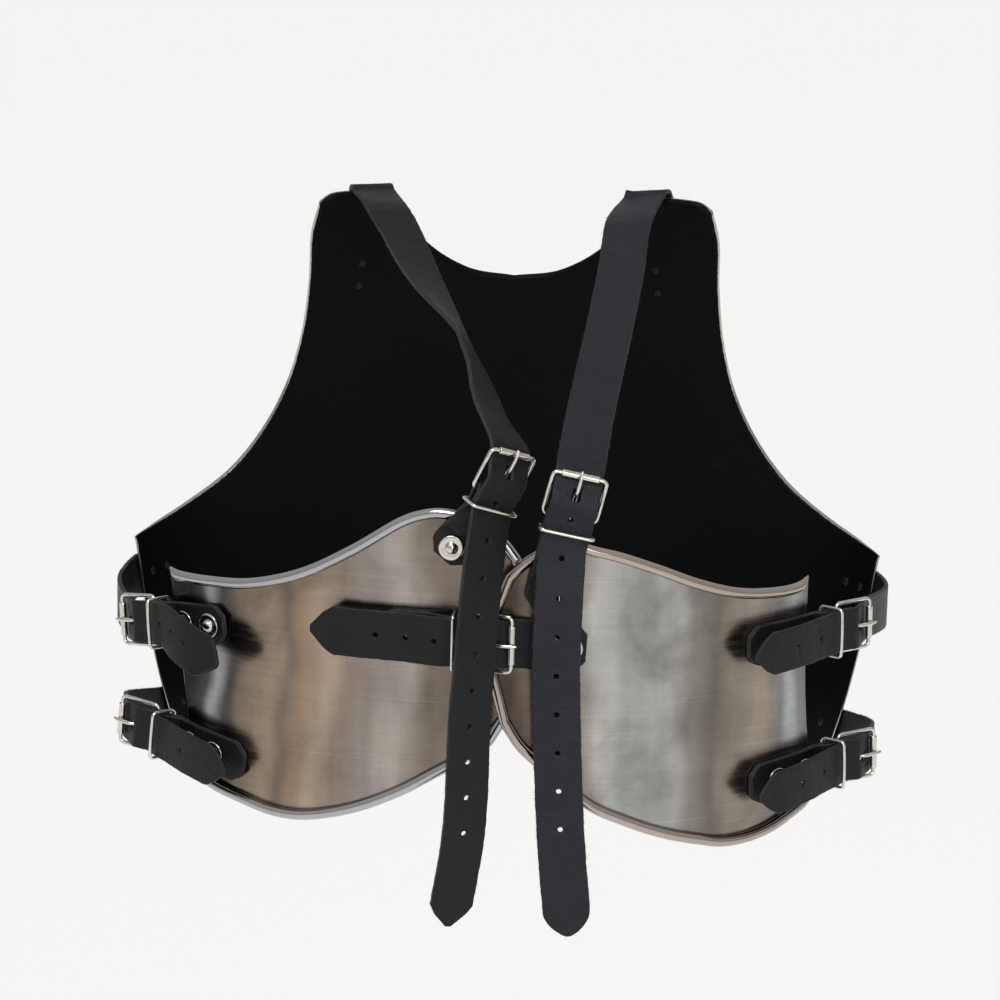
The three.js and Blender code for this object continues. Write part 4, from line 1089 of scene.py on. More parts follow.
    def roller_shape(self) -> Shape:
        """The sleeve that turns on the frame's far bar, with a seam along it."""
        place, (along, off) = self.rigid(), self.roller
        half, sides, bore = self.frame_half - ROLLER_ROOM, 28, WIRE + CLEAR / 2
        angle = 2 * math.pi * np.arange(sides) / sides
        profile = [(-half, bore), (-half, ROLLER - 0.25), (-half + 0.2, ROLLER - 0.05), (-half + 0.5, ROLLER)]
        profile += [(mix(-half, half, t), ROLLER) for t in np.linspace(0.1, 0.9, 7)]
        profile += [(half - 0.5, ROLLER), (half - 0.2, ROLLER - 0.05), (half, ROLLER - 0.25)]
        profile += [(half, bore), (0, bore)]
        rings = []
        for w, radius in profile:
            r = np.where(np.arange(sides) == 5, min(radius, ROLLER - 0.18), radius)
            rings.append(place(along + r * np.cos(angle), w, off + r * np.sin(angle)))
        faces = []
        for i in range(len(rings)):
            for k in range(sides):
                n, j = (k + 1) % sides, (i + 1) % len(rings)
                faces.append([i * sides + k, i * sides + n, j * sides + n, j * sides + k])
        return Shape(np.vstack(rings), faces)

    def prong_shape(self) -> Shape:
        """The prong: an eye round the hinge bar and a run that comes up through the strap to the roller."""
        place, up, eye = self.rigid(), self.bar_up, WIRE + CLEAR + PRONG
        rest = ROLLER + CLEAR + PRONG
        path = [
            (-eye * 0.15, up - eye), (eye * 0.7, up - eye * 0.75), (eye, up), (eye * 0.7, up + eye * 0.75),
            (-0.3, up + eye), self.in_frame(5, 2.2), self.in_frame(9, 1.9), self.in_frame(13, 2.6),
            self.in_frame(17, 3.7), self.in_frame(FRAME_LENGTH, rest + 0.1),
            self.in_frame(FRAME_LENGTH + ROLLER + 1.2, rest * 0.72),
        ]
        line = Spline([place(s, 0, n) for s, n in path])
        share = line.even(70)
        radii = PRONG * mix(1.0, 0.72, smoothstep(share, line.count - 2.6, line.count - 1.0))
        return tube(line.at(share), radii, place(0, 1, 0) - place(0, 0, 0), closed=False)

    def keeper_shape(self) -> Shape:
        """The keeper: a wire loop round strap and chape."""
        place = self.rigid(KEEPER_AT)
        low = SEAT + self.lift - CLEAR - KEEPER - 0.25
        high = self.strap_over()[AT_KEEPER][1] + STRAP / 2 + CLEAR + KEEPER + 0.9
        half = self.width / 2 + 2 * CLEAR + KEEPER
        loop = rounded(np.array([[half, low], [half, high], [-half, high], [-half, low]], float), 2.2)
        bow = 0.5 * (1 - (loop[:, 0] / half) ** 2) * np.sign(loop[:, 1] - (low + high) / 2)
        line = place(KEEPER_AT, loop[:, 0], loop[:, 1] + np.where(bow > 0, bow * 0.8, 0))
        return tube(line, KEEPER, place(1, 0, 0) - place(0, 0, 0), closed=True, sides=12)

    def chape_shape(self) -> Shape:
        """The chape: one strip folded round the hinge bar, both layers riveted to the plate."""
        full, middle = self.width - 1.2, FOLD / 2
        low, top, reach = SEAT + middle, SEAT + SLAB - middle, self.chape
        bend = NOSE - middle
        turn = np.radians(range(0, 181, 20))
        round_bar = [(-bend * math.sin(a), BAR_UP - bend * math.cos(a)) for a in turn]
        flat = np.linspace(reach, NOSE * 1.6, 8)
        stations = [(s, low) for s in flat] + round_bar
        stations += [(NOSE * 0.9, BAR_UP + NOSE * 0.85 - middle), (KEEPER_AT, top + 1.7)]
        stations += [(KEEPER_AT * 1.9, top)]
        stations += [(s, top) for s in np.linspace(KEEPER_AT * 1.9, reach, 7)[1:]]
        s = np.array([p[0] for p in stations])
        n = np.array([p[1] for p in stations])
        drift = self.slant * np.maximum(s - SLANT_FROM, 0)
        points = self.over(s, drift, n + self.lifted(s))
        wides = unit(self.over(s, drift + 1, 0) - self.over(s, drift - 1, 0))
        way = track(list(points), list(wides), step=0.6)
        nose = way.nearest(self.over(-bend, 0, BAR_UP + self.lifted(0)))
        slot = Hole(nose, 7.8, PRONG + CLEAR + 0.2)
        clip = [[0.0, (full / 2 - 6) / (full / 2)], [6 / full, 1.0]]
        strip = Strip(way, full, FOLD, clip, clip, [slot], creases=0.25, seed=self.seed, step=1.9)
        return strip.shape()

    def rivet_spots(self, distances: Sequence[float]) -> list[tuple[Array, Array]]:
        """Places and directions of rivets that sit on the chape."""
        spots = []
        for at in distances:
            off = SEAT + SLAB + CLEAR + 0.1
            point = self.over(at, self.slant * max(at - SLANT_FROM, 0), off)
            normal = self.plan.spot(self.arc + at * math.cos(math.radians(self.heading)), self.z, 0)[1]
            spots.append((point, normal))
        return spots


SETS = {
    made.name: made
    for made in [
        BuckleSet("shoulder_left", LEFT_PLAN, 7.5, -127.8, -70, 6.6, 8, LEFT_SHOULDER_WIDTH, 46, (25, 32),
                  (38.5,), slant=-0.354, yaw=33, seed=41),
        BuckleSet("shoulder_right", RIGHT_PLAN, -31.5, -139.9, -78, 5.2, 8, RIGHT_SHOULDER_WIDTH, 54,
                  (33, 42), (), seed=42),
        BuckleSet("centre", LEFT_PLAN, 18.5, -210.5, 0, 6, 14, CENTRE_WIDTH, 50, (12, 24), (), seed=43),
        BuckleSet("side_left_upper", LEFT_PLAN, 215, -226, 173, 3.4, 16, SIDE_WIDTH, 52, (9, 15), (22.5, 42),
                  puff=4.6, seed=44),
        BuckleSet("side_left_lower", LEFT_PLAN, 213, -288.5, 187, 3.4, 24, SIDE_WIDTH, 65, (9, 15), (),
                  puff=4, seed=45),
        BuckleSet("side_right_upper", RIGHT_PLAN, -204, -218, -2, 3.4, 16, SIDE_WIDTH, 64, (9, 15), (),
                  puff=4, seed=46),
        BuckleSet("side_right_lower", RIGHT_PLAN, -212, -295.5, -4, 3.4, 22, SIDE_WIDTH, 67, (9, 15), (),
                  puff=4, seed=47),
    ]
}

HIDDEN_RIVETS = {
    "shoulder_right": (47.0,),
    "centre": (30.0, 42.0),
    "side_left_lower": (26.0, 44.0),
    "side_right_upper": (28.0, 47.0),
    "side_right_lower": (28.0, 49.0),
}  # distances from the hinge bar of the rivets that lie under straps


# Straps


@dataclass
class SideStrap:
    """A strap riveted on the breastplate's outside, out past its raw edge and through a buckle."""

    name: str
    z: float
    hand: Hand
    bulge: float
    tail: float
    drop: float
    lean: float
    stand: float
    first: float
    pitch: float
    holes: int

    def edge(self) -> float:
        """Distance round the body of the breastplate's raw edge at the strap's height."""
        rows = np.array([[-b, a] for a, b in BREAST_SIDE])
        x = BOWL.half * smooth(rows, 1, np.array([-self.z / BOWL.drop]))
        return float(BOWL.around(x, np.array([self.z]))[0])

    def on_breast(self, inward: float, off: float) -> tuple[Array, Array]:
        """A place over the breastplate, inward of its edge, and the outward direction there."""
        return BOWL.spot(self.hand.value * (self.edge() - inward), self.z, off)

    def route(self) -> Track:
        """The strap's line."""
        buckle = SETS[self.name]
        points, wides = [], []
        for inward in (34, 23, 12, 2):
            around = self.hand.value * (self.edge() - inward)
            up = unit(BOWL.spot(around, self.z + 1, 0)[0] - BOWL.spot(around, self.z - 1, 0)[0])
            points.append(self.on_breast(inward, ON_BREAST + EDGE_GAP)[0])
            wides.append(up * self.hand.value)
        at_set, across = buckle.stations()
        side = np.array([0, 0, float(self.hand.value)])
        points.append((points[-1] + at_set[0]) / 2 + np.array([self.hand.value * self.bulge, 0, 0]))
        wides.append(side)
        points += at_set
        wides += across
        past, base = buckle.strap_over()[AT_KEEPER + 1]
        sign = -math.copysign(1, math.cos(math.radians(buckle.heading)))
        for share in (0.35, 0.7, 1.0):
            off = base + self.stand * share * (1 - 0.3 * share)
            points.append(buckle.over(past + self.tail * share, -sign * self.drop * share, off))
            down = math.radians(self.lean) * min(1, share * 1.5)
            wides.append(turned(side, np.array([0.0, 1.0, 0.0]), -sign * down))
        return track(points, wides)


@dataclass
class ShoulderStrap:
    """A strap riveted on a shoulder tab, over its top, down the back through a buckle, with a long tail."""

    name: str
    tab: float
    inset: float
    cant: float
    first: float
    pitch: float
    holes: int
    run: list[tuple[float, float, float, float]]
    tail: list[tuple[float, float, float, float]]
    fold_end: float = 116.0
    front: tuple[tuple[float, float, float], ...] = (
        (-66, 9, 0), (-50, 7, 0), (-38, 5.2, 0.1), (-30, 4.2, 1), (-21, 3, 2.9), (-11, 1.4, 5.2))
    rivets: tuple[tuple[float, float], ...] = ((-59, 8.2), (-44.4, 6.2))

    def on_tab(self, z: float, outward: float, off: float) -> tuple[Array, Array, Array]:
        """A place over the tab, the direction across the strap, and the outward direction."""
        hand = math.copysign(1, self.tab)
        around = float(BOWL.around(self.tab + hand * outward, np.array([min(z, 0)]))[0])
        step = 0.02 * BOWL.arc
        wide = unit(BOWL.spot(around - step, z, off)[0] - BOWL.spot(around + step, z, off)[0])
        point, normal = BOWL.spot(around, z, off)
        return point, wide, normal

    def route(self) -> Track:
        """The strap's line."""
        buckle = SETS[self.name]
        fold = BEAD_RADIUS + CLEAR + STRAP / 2 + 0.6
        bead = BEAD_RADIUS - STEEL / 2
        spots = [self.on_tab(z, outward, ON_BREAST + CLEAR + lift) for z, outward, lift in self.front]
        points = [spot[0] for spot in spots]
        wides = [spot[1] for spot in spots]
        for degrees in (0, 45, 90, self.fold_end):
            share, angle = degrees / self.fold_end, math.radians(degrees)
            point, wide, _ = self.on_tab(
                fold * math.sin(angle) - BEAD_RADIUS, -self.inset * share, bead + fold * math.cos(angle))
            points.append(point)
            wides.append(turned(wide, np.array([0.0, 1.0, 0.0]), math.radians(self.cant) * share))
        at_set, across = buckle.stations()
        way = unit(at_set[0] - points[-1])
        points += [np.array(row[:3], float) for row in self.run] + at_set
        wides += [self.twisted(way, row[3]) for row in self.run] + across
        points += [np.array(row[:3], float) for row in self.tail]
        wides += [self.twisted(np.array([0.0, 0.0, -1.0]), row[3]) for row in self.tail]
        return track(points, wides)

    def twisted(self, way: Array, degrees: float) -> Array:
        """The direction across the strap where it is twisted about its way."""
        return turned(np.array([-1.0, 0.0, 0.0]), way, -math.radians(degrees))


@dataclass
class CentreStrap:
    """The strap from the right back plate over its rolled edge to the buckle on the left one."""

    name: str = "centre"
    start: float = -44.0
    tip: float = 105.0
    first: float = 18.5
    pitch: float = 17.0
    holes: int = 3

    def route(self) -> Track:
        """The strap's line."""
        buckle = SETS[self.name]
        across = np.array([0.0, 0, -1])
        points = [
            RIGHT_PLAN.spot(self.start + step, buckle.z - 3.5 + step * 0.05, ON_BREAST)[0]
            for step in (0, 10, 20)
        ]
        at_set, set_across = buckle.stations()
        reach = self.tip - buckle.arc
        low = SEAT + SLAB + STRAP / 2 + CLEAR
        tail = [buckle.over(reach * share, 0, mix(low + 5, low + 3, share)) for share in (0.4, 0.7, 1)]
        wides = [across] * 3 + set_across + [across] * 3
        return track(points + at_set + tail, wides)


SIDE_STRAPS = [
    SideStrap("side_left_upper", -224, Hand.LEFT, 8, 44, 18, 30, 12, 14, 13.5, 3),
    SideStrap("side_left_lower", -302, Hand.LEFT, 9, 46, 2, 0, 5, 33, 20, 1),
    SideStrap("side_right_upper", -223, Hand.RIGHT, 9, 52, 2, 0, 4, 3, 20, 3),
    SideStrap("side_right_lower", -305, Hand.RIGHT, 9, 54, 3, 0, 4, 3, 20, 3),
]
SHOULDER_STRAPS = [
    ShoulderStrap(
        "shoulder_left", 83.5, 0, 0, 5, 20.5, 10,
        [(75.4, 23.5, -3, 8), (66, 43.6, -14.3, 12), (55.1, 71.8, -29.8, 21), (45.3, 94.4, -41.9, 33),
         (32.7, 120.1, -55.3, 52), (25.1, 136.2, -63.5, 62), (17.3, 160.4, -75.7, 57),
         (10.7, 188.6, -89.5, 44)],
        [(13.8, 236.5, -182.1, 32), (15.7, 238.5, -213.6, 30), (17.8, 236.5, -249.7, 26),
         (19.7, 232, -315.1, 23), (27.4, 229, -369, 22)]),
    ShoulderStrap(
        "shoulder_right", -77, 2, 14, 0, 21.7, 9,
        [(-64.3, 36.4, -9, 0), (-60.8, 66.8, -28.1, 0), (-56.3, 96.5, -46.2, 0), (-52.6, 119.5, -59.9, 0),
         (-48.2, 144.7, -74.6, 0), (-42.4, 181.7, -95.5, 0)],
        [(-28.4, 232, -182.4, 0), (-27.9, 231, -214.7, 0), (-28.6, 230, -239.4, 0), (-33, 228, -315.2, 0),
         (-39, 228, -373.3, 0)]),
]


# Scattered small parts


class Scatter:
    """A Geometry Nodes tree that sets copies of one small part on the points of a mesh."""

    def __init__(self) -> None:
        """Builds the tree, with named inputs for sizes and chance."""
        tree = bpy.data.node_groups.new("scatter", "GeometryNodeTree")
        tree.is_modifier = True
        self.tree = tree
        self.keys: dict[str, str] = {}
        for name, kind in (
            ("Points", "NodeSocketGeometry"), ("Part", "NodeSocketObject"), ("Share", "NodeSocketFloat"),
            ("Smallest", "NodeSocketFloat"), ("Largest", "NodeSocketFloat"), ("Lean", "NodeSocketVector"),
            ("Seed", "NodeSocketInt"), ("Finish", "NodeSocketMaterial"),
        ):
            socket = tree.interface.new_socket(name=name, in_out="INPUT", socket_type=kind)
            self.keys[name] = socket.identifier
        tree.interface.new_socket(name="Geometry", in_out="OUTPUT", socket_type="NodeSocketGeometry")
        given = add_node(tree, "NodeGroupInput").outputs
        aim = add_node(tree, "GeometryNodeInputNamedAttribute", {"data_type": "FLOAT_VECTOR"},
                       {"Name": "aim"})
        facing = add_node(tree, "FunctionNodeAlignRotationToVector", {"axis": "Z"},
                          {"Vector": aim.outputs["Attribute"]})
        against = add_node(tree, "ShaderNodeVectorMath", {"operation": "SCALE"},
                           {0: given["Lean"], "Scale": -1.0})
        lean = add_node(tree, "FunctionNodeRandomValue", {"data_type": "FLOAT_VECTOR"},
                        {"Min": against.outputs[0], "Max": given["Lean"], "Seed": given["Seed"]})
        leaning = add_node(tree, "FunctionNodeRotateRotation", {"rotation_space": "LOCAL"},
                           {"Rotation": facing.outputs["Rotation"], "Rotate By": lean.outputs["Value"]})
        size = add_node(tree, "FunctionNodeRandomValue", {"data_type": "FLOAT"},
                        {"Min": given["Smallest"], "Max": given["Largest"], "Seed": given["Seed"]})
        chosen = add_node(tree, "FunctionNodeRandomValue", {"data_type": "BOOLEAN"},
                          {"Probability": given["Share"], "Seed": given["Seed"]})
        part = add_node(tree, "GeometryNodeObjectInfo", {}, {"Object": given["Part"]})
        copies = add_node(tree, "GeometryNodeInstanceOnPoints", {}, {
            "Points": given["Points"], "Selection": live(chosen.outputs, "Value"),
            "Instance": part.outputs["Geometry"], "Rotation": leaning.outputs["Rotation"],
            "Scale": live(size.outputs, "Value"),
        })
        real = add_node(tree, "GeometryNodeRealizeInstances", {}, {"Geometry": copies.outputs["Instances"]})
        dressed = add_node(tree, "GeometryNodeSetMaterial", {},
                           {"Geometry": real.outputs["Geometry"], "Material": given["Finish"]})
        add_node(tree, "NodeGroupOutput", {}, {"Geometry": dressed.outputs["Geometry"]})

    def bake(
        self, name: str, spots: Sequence[tuple[Array, Array]], part: Shape, finish: bpy.types.Material,
        share: float = 1.0, sizes: tuple[float, float] = (1.0, 1.0),
        lean: tuple[float, float, float] = (0, 0, 3.1), seed: int = 1,
    ) -> bpy.types.Object:
        """Sets copies of a part on points and turns them into one plain mesh.

        Args:
            name: The new piece's name.
            spots: Each point and the direction that the part's Z faces there.
            part: The part, at the origin.
            finish: Its material.
            share: Share of the points that get a copy.
            sizes: Smallest and largest scale.
            lean: Most that a copy turns round its own axes, in radians.
            seed: Fixes the random choices.

        Returns:
            The new piece.
        """
        master = part.piece(f"{name}_master", finish)
        mesh = bpy.data.meshes.new(f"{name}_points")
        mesh.from_pydata([(p * MM).tolist() for p, _ in spots], [], [])
        aims = np.array([n for _, n in spots], float)
        mesh.attributes.new("aim", "FLOAT_VECTOR", "POINT").data.foreach_set("vector", aims.ravel())
        carrier = bpy.data.objects.new(f"{name}_points", mesh)
        bpy.context.scene.collection.objects.link(carrier)
        modifier = carrier.modifiers.new("scatter", "NODES")
        modifier.node_group = self.tree
        for label, value in (
            ("Part", master), ("Share", share), ("Smallest", sizes[0]), ("Largest", sizes[1]), ("Lean", lean),
            ("Seed", seed), ("Finish", finish),
        ):
            modifier[self.keys[label]] = value
        view = bpy.context.evaluated_depsgraph_get()
        view.update()
        made = bpy.data.meshes.new_from_object(carrier.evaluated_get(view), depsgraph=view)
        made.name = name
        for gone in (carrier, master):
            bpy.data.objects.remove(gone)
        piece = bpy.data.objects.new(name, made)
        bpy.context.scene.collection.objects.link(piece)
        if not made.materials:
            made.materials.append(finish)
        return piece


def live(sockets: Any, name: str) -> bpy.types.NodeSocket:
    """The socket of a name that a node uses in its present setting."""
    return next(s for s in sockets if s.name == name and s.enabled)


def add_node(
    tree: bpy.types.NodeTree, kind: str, settings: dict[str, Any] | None = None,
    inputs: dict[str | int, Any] | None = None,
) -> bpy.types.Node:
    """Adds a node with its settings and links.

    Args:
        tree: The tree to add to.
        kind: The node's type name.
        settings: Its properties.
        inputs: For each input's name or number, a value or the output that feeds it.

    Returns:
        The node.
    """
    node = tree.nodes.new(kind)
    for name, value in (settings or {}).items():
        setattr(node, name, value)
    for name, value in (inputs or {}).items():
        socket = node.inputs[name] if isinstance(name, int) else live(node.inputs, name)
        if isinstance(value, bpy.types.NodeSocket):
            tree.links.new(value, socket)
        else:
            socket.default_value = value
    return node


def revolved(profile: Sequence[tuple[float, float]], sides: int) -> Shape:
    """A profile of (radius, height) rows turned round Z, its first and last row on the axis."""
    angle = 2 * math.pi * np.arange(sides) / sides
    rings = [
        np.stack([r * np.cos(angle), r * np.sin(angle), np.full(sides, h)], axis=1) for r, h in profile[1:-1]
    ]
    points = np.vstack([*rings, [[0, 0, profile[0][1]], [0, 0, profile[-1][1]]]])
    first, last = len(points) - 2, len(points) - 1
    faces: list[Sequence[int]] = []
    for i in range(len(rings) - 1):
        for k in range(sides):
            n = (k + 1) % sides
            faces.append([i * sides + k, i * sides + n, (i + 1) * sides + n, (i + 1) * sides + k])
    end = (len(rings) - 1) * sides
    for k in range(sides):
        n = (k + 1) % sides
        faces += [[first, n, k], [last, end + k, end + n]]
    return Shape(points, faces)


def rivet_shape() -> Shape:
    """A domed rivet head on a pressed washer."""
    profile = [(0, 0), (WASHER_RADIUS - 0.5, 0), (WASHER_RADIUS - 0.1, 0.12), (WASHER_RADIUS, 0.35)]
    profile += [(WASHER_RADIUS - 0.15, 0.62), (WASHER_RADIUS - 0.7, 0.8), (WASHER_RADIUS - 1.6, 0.86)]
    profile += [(DOME_RADIUS + 0.9, WASHER * 0.8), (DOME_RADIUS + 0.25, WASHER * 0.7), (DOME_RADIUS, WASHER)]
    for a in np.radians([12, 25, 38, 52, 66, 79]):
        profile.append((DOME_RADIUS * math.cos(a), WASHER + DOME_HEIGHT * math.sin(a)))
    profile.append((0, WASHER + DOME_HEIGHT))
    return revolved(profile, 28)


def peened_shape() -> Shape:
    """The beaten-over inner end of a rivet."""
    profile = [(0, -0.3), (2.3, -0.3), (2.5, 0.1), (2.2, 0.55), (1.5, 0.85), (0.7, 0.98), (0, 1.0)]
    return revolved(profile, 18)


def fibre_shape() -> Shape:
    """One loose fibre of a cut leather edge, about a millimetre long and three-sided."""
    t = np.linspace(0, 1, 5)
    line = np.stack([0.3 * t**2, 0.12 * np.sin(4 * t), 1.1 * t], axis=1)
    return tube(line, 0.055 * (1 - 0.6 * t), np.array([1.0, 0.2, 0]), closed=False, sides=3)


# Finishes


def linear(code: str) -> tuple[float, float, float, float]:
    """An sRGB hex colour as linear red, green, blue and alpha."""
    parts = [int(code[k : k + 2], 16) / 255 for k in (1, 3, 5)]
    red, green, blue = (c / 12.92 if c <= 0.04045 else ((c + 0.055) / 1.055) ** 2.4 for c in parts)
    return red, green, blue, 1.0


def fresh(name: str) -> tuple[bpy.types.Material, bpy.types.NodeTree]:
    """A new material with an empty tree."""
    material = bpy.data.materials.new(name)
    material.use_nodes = True
    material.node_tree.nodes.clear()
    return material, material.node_tree


def ramp(
    tree: bpy.types.NodeTree, source: Any, stops: Sequence[tuple[float, str]], blend: str = "B_SPLINE",
) -> bpy.types.NodeSocket:
    """Colours along a value from 0 to 1.

    Args:
        tree: The material's tree.
        source: The output that gives the value.
        stops: Places and sRGB hex colours, in order.
        blend: How the ramp passes from one colour to the next.

    Returns:
        The colour.
    """
    node = add_node(tree, "ShaderNodeValToRGB", {}, {"Fac": source})
    node.color_ramp.interpolation = blend
    elements = node.color_ramp.elements
    for k, (at, code) in enumerate(stops):
        element = elements[k] if k < 2 else elements.new(at)
        element.position = at
        element.color = linear(code)
    return node.outputs["Color"]


def noise(
    tree: bpy.types.NodeTree, where: Any, scale: float, detail: float, roughness: float = 0.5,
    distortion: float = 0.0,
) -> bpy.types.NodeSocket:
    """Adds a noise texture and gives its grey value."""
    return add_node(tree, "ShaderNodeTexNoise", {}, {
        "Vector": where, "Scale": scale, "Detail": detail, "Roughness": roughness,
        "Distortion": distortion}).outputs["Fac"]


def between(
    tree: bpy.types.NodeTree, value: Any, given: tuple[float, float],
    made: tuple[float, float] = (0.0, 1.0),
) -> bpy.types.NodeSocket:
    """Maps one range of values onto another and holds it at the ends."""
    return add_node(tree, "ShaderNodeMapRange", {}, {
        "Value": value, "From Min": given[0], "From Max": given[1], "To Min": made[0],
        "To Max": made[1]}).outputs[0]


def reckon(tree: bpy.types.NodeTree, operation: str, *terms: Any) -> bpy.types.NodeSocket:
    """Adds a sum, a product or the like."""
    return add_node(tree, "ShaderNodeMath", {"operation": operation}, dict(enumerate(terms))).outputs[0]


def blended(tree: bpy.types.NodeTree, share: Any, low: Any, high: Any) -> bpy.types.NodeSocket:
    """Adds a mix of two colours."""
    return add_node(tree, "ShaderNodeMix", {"data_type": "RGBA"},
                    {"Factor": share, "A": low, "B": high}).outputs["Result"]


def stretched(
    tree: bpy.types.NodeTree, where: Any, scale: tuple[float, float, float], turn: float = 0.0,
) -> bpy.types.NodeSocket:
    """Adds a map that is scaled by axis and turned in its plane, in radians."""
    return add_node(tree, "ShaderNodeMapping", {},
                    {"Vector": where, "Rotation": (0, 0, turn), "Scale": scale}).outputs[0]


def bumped(
    tree: bpy.types.NodeTree, height: Any, strength: float, distance: float,
) -> bpy.types.NodeSocket:
    """Adds relief, its distance in metres."""
    return add_node(tree, "ShaderNodeBump", {}, {
        "Strength": strength, "Distance": distance, "Height": height}).outputs[0]


@dataclass(frozen=True)
class PlateSteel:
    """Mild steel sheet, brushed round the body and left to dull, its inside brushed with black enamel.

    The eye sees fine lines round the body, soft warm and grey bands that are painted reflections, vertical
    streaks that are partly stains and partly painted reflections, a few handling scratches, and a nearly black
    inside with faint grey rubs.
    """

    name: str
    painted_reflections: tuple[tuple[float, str], ...]
    span: tuple[float, float]
    rim: str
    roughness: float = 0.22
    line_pitch: float = 0.35
    enamel: str = "#050506"
    rub: str = "#6f6d6c"
    enamel_roughness: float = 0.52

    def material(self) -> bpy.types.Material:
        """Builds the material."""
        material, tree = fresh(self.name)
        uv = add_node(tree, "ShaderNodeUVMap", {"uv_map": "flat"}).outputs["UV"]
        around = add_node(tree, "ShaderNodeSeparateXYZ", {}, {0: uv}).outputs[0]
        wander = reckon(tree, "MULTIPLY_ADD", noise(tree, uv, 11.0, 2.0), 0.05, -0.025)
        place = reckon(tree, "ADD", around, wander)
        share = between(tree, place, (self.span[0] * MM, self.span[1] * MM))
        # Painted reflections: light and dark bands laid round the plate by position, standing in for its
        # surroundings
        painted_reflections = ramp(tree, share, self.painted_reflections, "EASE")

        lines = noise(tree, stretched(tree, uv, (9.0, 1 / (self.line_pitch * MM), 1.0)), 1.0, 3.0, 0.6)
        broad = noise(tree, stretched(tree, uv, (5.0, 420.0, 1.0)), 1.0, 4.0, 0.55)
        # Vertical streaks: partly stains, partly painted reflections
        streak_stain_and_reflection = noise(tree, stretched(tree, uv, (160.0, 9.0, 1.0)), 1.0, 4.0, 0.6)
        stain = noise(tree, uv, 13.0, 6.0, 0.65, 0.8)
        scratch = noise(tree, stretched(tree, uv, (9.0, 1100.0, 1.0), 0.5), 1.0, 1.0)
        shade = between(tree, noise(tree, uv, 26.0, 5.0, 0.6, 0.4), (0.3, 0.7), (0.74, 0.98))
        for mark, given, tint in (
            (lines, (0.25, 0.75), (0.9, 1.1)), (streak_stain_and_reflection, (0.3, 0.7), (0.93, 1.07)),
            (stain, (0.5, 0.72), (1.0, 0.62)), (scratch, (0.7, 0.76), (1.0, 1.3)),
        ):
            shade = reckon(tree, "MULTIPLY", shade, between(tree, mark, given, tint))
        sheet = add_node(tree, "ShaderNodeVectorMath", {"operation": "SCALE"}, {0: painted_reflections, "Scale": shade})
        rolled = add_node(tree, "ShaderNodeAttribute", {"attribute_name": "rim"}).outputs["Fac"]
        polished = reckon(tree, "MULTIPLY", rolled, 0.9)
        bright = blended(tree, polished, sheet.outputs[0], linear(self.rim))

        rubbed = between(tree, noise(tree, uv, 34.0, 8.0, 0.7), (0.64, 0.8), (0.0, 0.06))
        dark = blended(tree, rubbed, linear(self.enamel), linear(self.rub))
        paint = add_node(tree, "ShaderNodeAttribute", {"attribute_name": "paint"}).outputs["Fac"]
        ragged = reckon(tree, "MULTIPLY_ADD", noise(tree, uv, 420.0, 3.0), 0.5, -0.25)
        inside = between(tree, reckon(tree, "ADD", paint, ragged), (0.46, 0.54))
        dull = between(tree, broad, (0.3, 0.7), (self.roughness - 0.06, self.roughness + 0.09))
        smoother = reckon(tree, "MULTIPLY_ADD", rolled, -0.1, dull)
        rough = add_node(tree, "ShaderNodeMix", {"data_type": "FLOAT"}, {
            "Factor": inside, "A": smoother, "B": self.enamel_roughness})
        relief = reckon(tree, "MULTIPLY_ADD", broad, 0.5, lines)
        shader = add_node(tree, "ShaderNodeBsdfPrincipled", {}, {
            "Base Color": blended(tree, inside, bright, dark),
            "Metallic": reckon(tree, "SUBTRACT", 1.0, inside), "Roughness": rough.outputs[0],
            "Normal": bumped(tree, relief, 0.32, 0.00006), "Specular IOR Level": 0.07})
        add_node(tree, "ShaderNodeOutputMaterial", {}, {"Surface": shader.outputs[0]})
        return material


@dataclass(frozen=True)
class StrapLeather:
    """Vegetable-tanned cowhide, dyed black through and waxed, its cut edges left raw.

    The eye sees a pebbled grain with a low sheen, cross creases where it was bent, and greyer, fuzzy edges.
    """

    name: str
    tone: Tone
    roughness: float = 0.42
    pebble: float = 1.1
    worn: str = "#4a4a50"
    # The sheen-lit pair is the same black leather made lighter and bluish: a painted sheen of cool light
    colours = {Tone.BLUE: ("#1b1c25", "#0d0e13"), Tone.BLACK: ("#101012", "#050506")}

    def material(self) -> bpy.types.Material:
        """Builds the material."""
        material, tree = fresh(self.name)
        light, dark = self.colours[self.tone]
        uv = add_node(tree, "ShaderNodeUVMap", {"uv_map": "flat"}).outputs["UV"]
        patch = noise(tree, uv, 75.0, 6.0, 0.62)
        grain = add_node(tree, "ShaderNodeTexVoronoi", {"feature": "SMOOTH_F1"}, {
            "Vector": uv, "Scale": 1 / (self.pebble * MM), "Smoothness": 0.4, "Randomness": 1.0})
        fine = noise(tree, uv, 2600.0, 4.0, 0.6)
        crease = noise(tree, stretched(tree, uv, (620.0, 90.0, 1.0)), 1.0, 5.0, 0.65, 0.6)
        colour = blended(tree, patch, linear(dark), linear(light))
        edge = add_node(tree, "ShaderNodeAttribute", {"attribute_name": "edge"}).outputs["Fac"]
        wear = between(tree, reckon(tree, "MULTIPLY", edge, patch), (0.25, 0.95), (0.0, 0.55))
        height = reckon(tree, "MULTIPLY_ADD", grain.outputs["Distance"], -0.6, crease)
        relief = reckon(tree, "MULTIPLY_ADD", fine, 0.35, height)
        dull = between(tree, crease, (0.3, 0.7), (self.roughness - 0.07, self.roughness + 0.12))
        shader = add_node(tree, "ShaderNodeBsdfPrincipled", {}, {
            "Base Color": blended(tree, wear, colour, linear(self.worn)), "Roughness": dull,
            "Normal": bumped(tree, relief, 0.7, 0.0006), "Specular IOR Level": 0.25})
        add_node(tree, "ShaderNodeOutputMaterial", {}, {"Surface": shader.outputs[0]})
        return material


